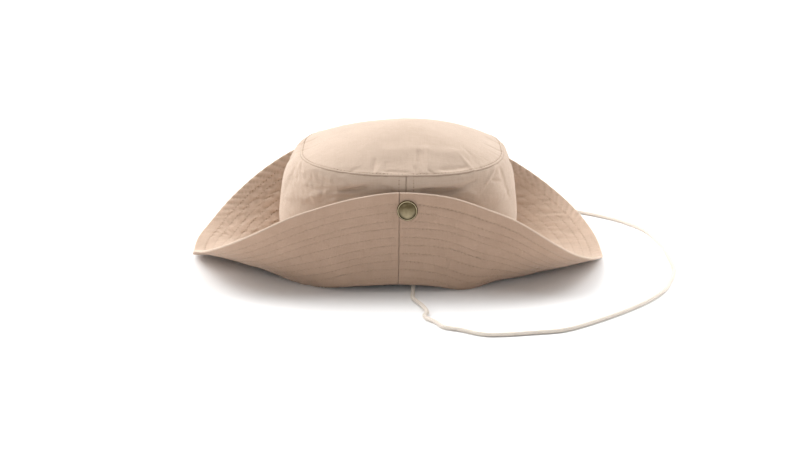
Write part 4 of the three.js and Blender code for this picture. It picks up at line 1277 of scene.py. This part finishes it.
def cotton(name, light, dark, sheen, lit_inner_face=None, hole_shade=(0.5, 0.5)):
    """Washed cotton in a plain weave. lit_inner_face: a lighter copy of the two colours for the inner grid of a shell:
    painted light.
    hole_shade: how dark the painted shade in the needle holes is on the outer and the inner grid of a shell."""
    m = Nodes(name)
    # Painted light: the inner face takes a lighter copy of the two colours.
    if lit_inner_face:
        lit_side = m.attribute("lit_inner_face")
        light, dark = (m.mix(lit_side, a, b) for a, b in ((light, lit_inner_face[0]), (dark, lit_inner_face[1])))
    uv = m.cloth_mm()
    bent = m.vector("ADD", uv, m.vector("MULTIPLY", m.noise_colour(uv, 0.05), (1.6, 1.6, 0.0)))
    u, v = m.parts(bent)
    a = m.math("SINE", m.math("MULTIPLY", u, math.pi / YARN))
    b = m.math("SINE", m.math("MULTIPLY", v, math.pi / YARN))
    swap = m.math("MULTIPLY_ADD", m.math("MULTIPLY", a, b), 2.0, 0.5, clamp=True)
    warp = m.math("MULTIPLY", m.math("ABSOLUTE", a), swap)
    weft = m.math("MULTIPLY", m.math("ABSOLUTE", b), m.math("SUBTRACT", 1.0, swap))
    weave = m.math("ADD", warp, weft)
    # Each yarn has its own thickness and shade, which change slowly along it.
    slub_u = m.noise(m.together(m.math("MULTIPLY", u, 1.25), m.math("MULTIPLY", v, 0.05)), 1.0, 2.0)
    slub_v = m.noise(m.together(m.math("MULTIPLY", u, 0.05), m.math("MULTIPLY", v, 1.25)), 1.0, 2.0)
    slub = m.math("ADD", slub_u, slub_v)
    fine = m.noise(uv, 1.5, 3.0, 0.6)
    blotch = m.noise(uv, 0.075, 4.0, 0.62)
    worn = m.noise(uv, 0.021, 3.0, 0.5)
    tone = m.math("ADD", m.math("MULTIPLY", m.spread(slub, 0.7, 1.3, 0, 1), 0.22), m.math("MULTIPLY", m.spread(blotch, 0.3, 0.7, 0, 1), 0.24))
    tone = m.math("ADD", tone, m.math("MULTIPLY", m.spread(worn, 0.3, 0.7, 0, 1), 0.22))
    tone = m.math("ADD", tone, m.math("MULTIPLY", m.spread(weave, 0, 1, 0, 1), 0.18))
    tone = m.math("ADD", tone, m.math("MULTIPLY", m.spread(fine, 0.3, 0.7, 0, 1), 0.14), clamp=True)
    colour = m.mix(tone, dark, light)
    # Painted shade from the attribute darkens the cloth towards a dark brown; where the attribute is below 0 it is a
    # painted highlight that lightens the cloth.
    painted_shade_and_highlight = m.attribute("painted_shade_and_highlight")
    down = m.math("MULTIPLY", m.math("MAXIMUM", painted_shade_and_highlight, 0.0), 0.55, clamp=True)
    up = m.math("MULTIPLY", m.math("MAXIMUM", m.math("MULTIPLY", painted_shade_and_highlight, -1.0), 0.0), 0.5)
    colour = m.mix(down, colour, (0.20, 0.135, 0.09))
    colour = m.mix(up, colour, (0.72, 0.60, 0.49))
    # Needle holes, one at each end of a stitch, painted dark as the shade inside each hole.
    turn = m.math("COSINE", m.math("MULTIPLY", m.attribute("count"), 2 * math.pi))
    shaded_hole = m.math("MULTIPLY", m.spread(turn, 0.45, 0.95, 0, 1), m.spread(m.attribute("row"), 0.35, 0.9, 0, 1), clamp=True)
    # They have closed again in many places.
    still = m.spread(m.noise(uv, 0.045, 3.0, 0.6), 0.42, 0.60, 0.12, 1.0)
    shaded_hole = m.math("MULTIPLY", shaded_hole, still)
    strength = m.spread(m.attribute("lit_inner_face"), 0, 1, hole_shade[0], hole_shade[1])
    colour = m.mix(m.math("MULTIPLY", shaded_hole, strength), colour, (0.13, 0.08, 0.05))
    height = m.math("ADD", weave, m.math("MULTIPLY", slub, 0.7))
    low = m.bump(m.math("ADD", blotch, m.math("MULTIPLY", m.noise(uv, 0.28, 3.0, 0.55), 0.6)), 0.35, 0.0011)
    low = m.bump(m.math("MULTIPLY", shaded_hole, -1.0), 0.4, 0.0004, low)
    normal = m.bump(height, 0.42, 0.00013, low)
    return m.finish(
        Base_Color=colour, Roughness=m.spread(blotch, 0.3, 0.7, 0.84, 0.95), Normal=normal,
        Sheen_Weight=sheen, Sheen_Roughness=0.45, Sheen_Tint=(1.0, 0.96, 0.90), IOR=1.42,
        Specular_IOR_Level=0.25,
    )


def noise_colour(self, vector, scale):
    n = self.tree.nodes.new("ShaderNodeTexNoise")
    n.noise_dimensions = "2D"
    self.put(n.inputs["Vector"], vector)
    n.inputs["Scale"].default_value = scale
    n.inputs["Detail"].default_value = 1.0
    return n.outputs[1]


Nodes.noise_colour = noise_colour


def sewing_thread(name, colour):
    m = Nodes(name)
    where = m.place_mm()
    fine = m.noise(where, 2.2, 3.0, 0.6, size=3)
    wide = m.noise(where, 0.05, 2.0, 0.5, size=3)
    tone = m.math("ADD", m.math("MULTIPLY", fine, 0.6), m.math("MULTIPLY", wide, 0.5), clamp=True)
    c = m.mix(tone, tuple(0.68 * x for x in colour), tuple(1.22 * x for x in colour))
    # Painted shade at the thread's ends, where it goes into the cloth.
    c = m.mix(m.math("MULTIPLY", m.attribute("painted_shade_and_highlight"), 0.40), c, tuple(0.25 * x for x in colour))
    return m.finish(
        Base_Color=c, Roughness=0.72, Normal=m.bump(fine, 0.4, 0.00012), Sheen_Weight=0.2,
        Sheen_Roughness=0.4, IOR=1.45,
    )


def braid_cotton(name, light, dark):
    m = Nodes(name)
    uv = m.cloth_mm()
    where = m.place_mm()
    fibre = m.noise(m.vector("MULTIPLY", uv, (1.0, 3.0, 0.0)), 2.4, 3.0, 0.6)
    wide = m.noise(where, 0.05, 3.0, 0.5, size=3)
    tone = m.math("ADD", m.math("MULTIPLY", fibre, 0.55), m.math("MULTIPLY", wide, 0.55), clamp=True)
    c = m.mix(tone, dark, light)
    # Painted shade between the strands of the braid.
    painted_shade_and_highlight = m.attribute("painted_shade_and_highlight")
    c = m.mix(m.math("MULTIPLY", painted_shade_and_highlight, 0.92, clamp=True), c, tuple(0.36 * x for x in dark))
    return m.finish(
        Base_Color=c, Roughness=0.85, Normal=m.bump(fibre, 0.5, 0.00016), Sheen_Weight=0.3,
        Sheen_Roughness=0.4, IOR=1.45,
    )


def old_brass(name):
    m = Nodes(name)
    where = m.place_mm()
    spots = m.noise(where, 0.35, 3.0, 0.5, size=3)
    fine = m.noise(where, 3.2, 3.0, 0.6, size=3)
    wear_and_painted_light = m.attribute("wear_and_painted_light")
    # The wear attribute also carries the painted light and painted shade of the dish.
    bare_and_lit = m.math("ADD", m.math("MULTIPLY", wear_and_painted_light, 0.72), m.math("MULTIPLY", m.spread(spots, 0.40, 0.75, 0, 1), 0.09), clamp=True)
    c = m.mix(bare_and_lit, (0.085, 0.064, 0.032), (0.64, 0.54, 0.35))
    rough = m.math("ADD", m.spread(bare_and_lit, 0, 1, 0.46, 0.27), m.math("MULTIPLY", fine, 0.12))
    return m.finish(
        Base_Color=c, Metallic=1.0, Roughness=rough,
        Normal=m.bump(m.math("ADD", fine, spots), 0.18, 0.00012),
    )


CROWN = cotton("crown_cotton", (0.548, 0.428, 0.340), (0.436, 0.330, 0.254), 0.26, hole_shade=(0.85, 0.5))
# The brim's two faces are lighter and darker copies of one cotton: painted light on the inner face.
BRIM = cotton(
    "brim_cotton", (0.475, 0.331, 0.245), (0.370, 0.250, 0.178), 0.24,
    lit_inner_face=((0.630, 0.480, 0.375), (0.490, 0.365, 0.277)), hole_shade=(0.18, 0.70),
)
TAPE = cotton("tape_cotton", (0.55, 0.42, 0.32), (0.40, 0.30, 0.22), 0.3)
THREAD_TAN = sewing_thread("tan_thread", (0.43, 0.31, 0.22))
THREAD_PALE = sewing_thread("pale_thread", (0.56, 0.42, 0.32))
BRAID = braid_cotton("cord_cotton_braid", (0.88, 0.80, 0.71), (0.76, 0.67, 0.575))
BRASS = old_brass("antique_brass")

for pieces, material in (
    ((top_piece, side_front, side_back), CROWN),
    ((brim_f, brim_b), BRIM),
    (tab_pieces, TAPE),
    ([piece for piece in stitch_pieces if "upper" not in piece.name], THREAD_TAN),
    ([piece for piece in stitch_pieces if "upper" in piece.name], THREAD_PALE),
    ((cord_piece,), BRAID),
    (snap_pieces, BRASS),
):
    for piece in pieces:
        piece.data.materials.clear()
        piece.data.materials.append(material)

# ---- floor and light -----------------------------------------------------------------------

floor_mesh = bpy.data.meshes.new("floor")
floor_mesh.from_pydata([(-6, -6, 0), (6, -6, 0), (6, 6, 0), (-6, 6, 0)], [], [(0, 1, 2, 3)])
floor = bpy.data.objects.new("floor", floor_mesh)
bpy.context.scene.collection.objects.link(floor)
fm = Nodes("pale_floor")
fm.finish(Base_Color=(0.90, 0.90, 0.90), Roughness=0.9, Specular_IOR_Level=0.1)
floor_mesh.materials.append(fm.mat)

world = bpy.data.worlds.new("studio")
world.use_nodes = True
sky = world.node_tree.nodes["Background"]
sky.inputs["Color"].default_value = (1.0, 1.0, 1.0, 1.0)
sky.inputs["Strength"].default_value = 0.03
bpy.context.scene.world = world


def sun(name, strength, spread_deg, azimuth, elevation):
    """A wide soft sun. azimuth is where it stands, from +X towards +Y."""
    data = bpy.data.lights.new(name, "SUN")
    data.energy, data.angle = strength, math.radians(spread_deg)
    lamp = bpy.data.objects.new(name, data)
    a, e = math.radians(azimuth), math.radians(elevation)
    aim = -np.array([math.cos(e) * math.cos(a), math.cos(e) * math.sin(a), math.sin(e)])
    import mathutils

    lamp.rotation_euler = mathutils.Vector(aim.tolist()).to_track_quat("-Z", "Y").to_euler()
    bpy.context.scene.collection.objects.link(lamp)
    return lamp


# The hat stands against the light: broad lamps behind it on both sides, a weak one in front.
sun("right_low", 2.9, 50, 30, 26)
sun("left_low", 3.4, 50, 153, 27)
sun("right_high", 1.2, 60, 55, 55)
sun("left_high", 1.9, 60, 138, 55)
sun("front", 0.84, 50, 270, 20)
sun("overhead", 0.32, 60, 270, 86)
bpy.context.scene.view_settings.view_transform = "Standard"
bpy.context.scene.view_settings.look = "None"
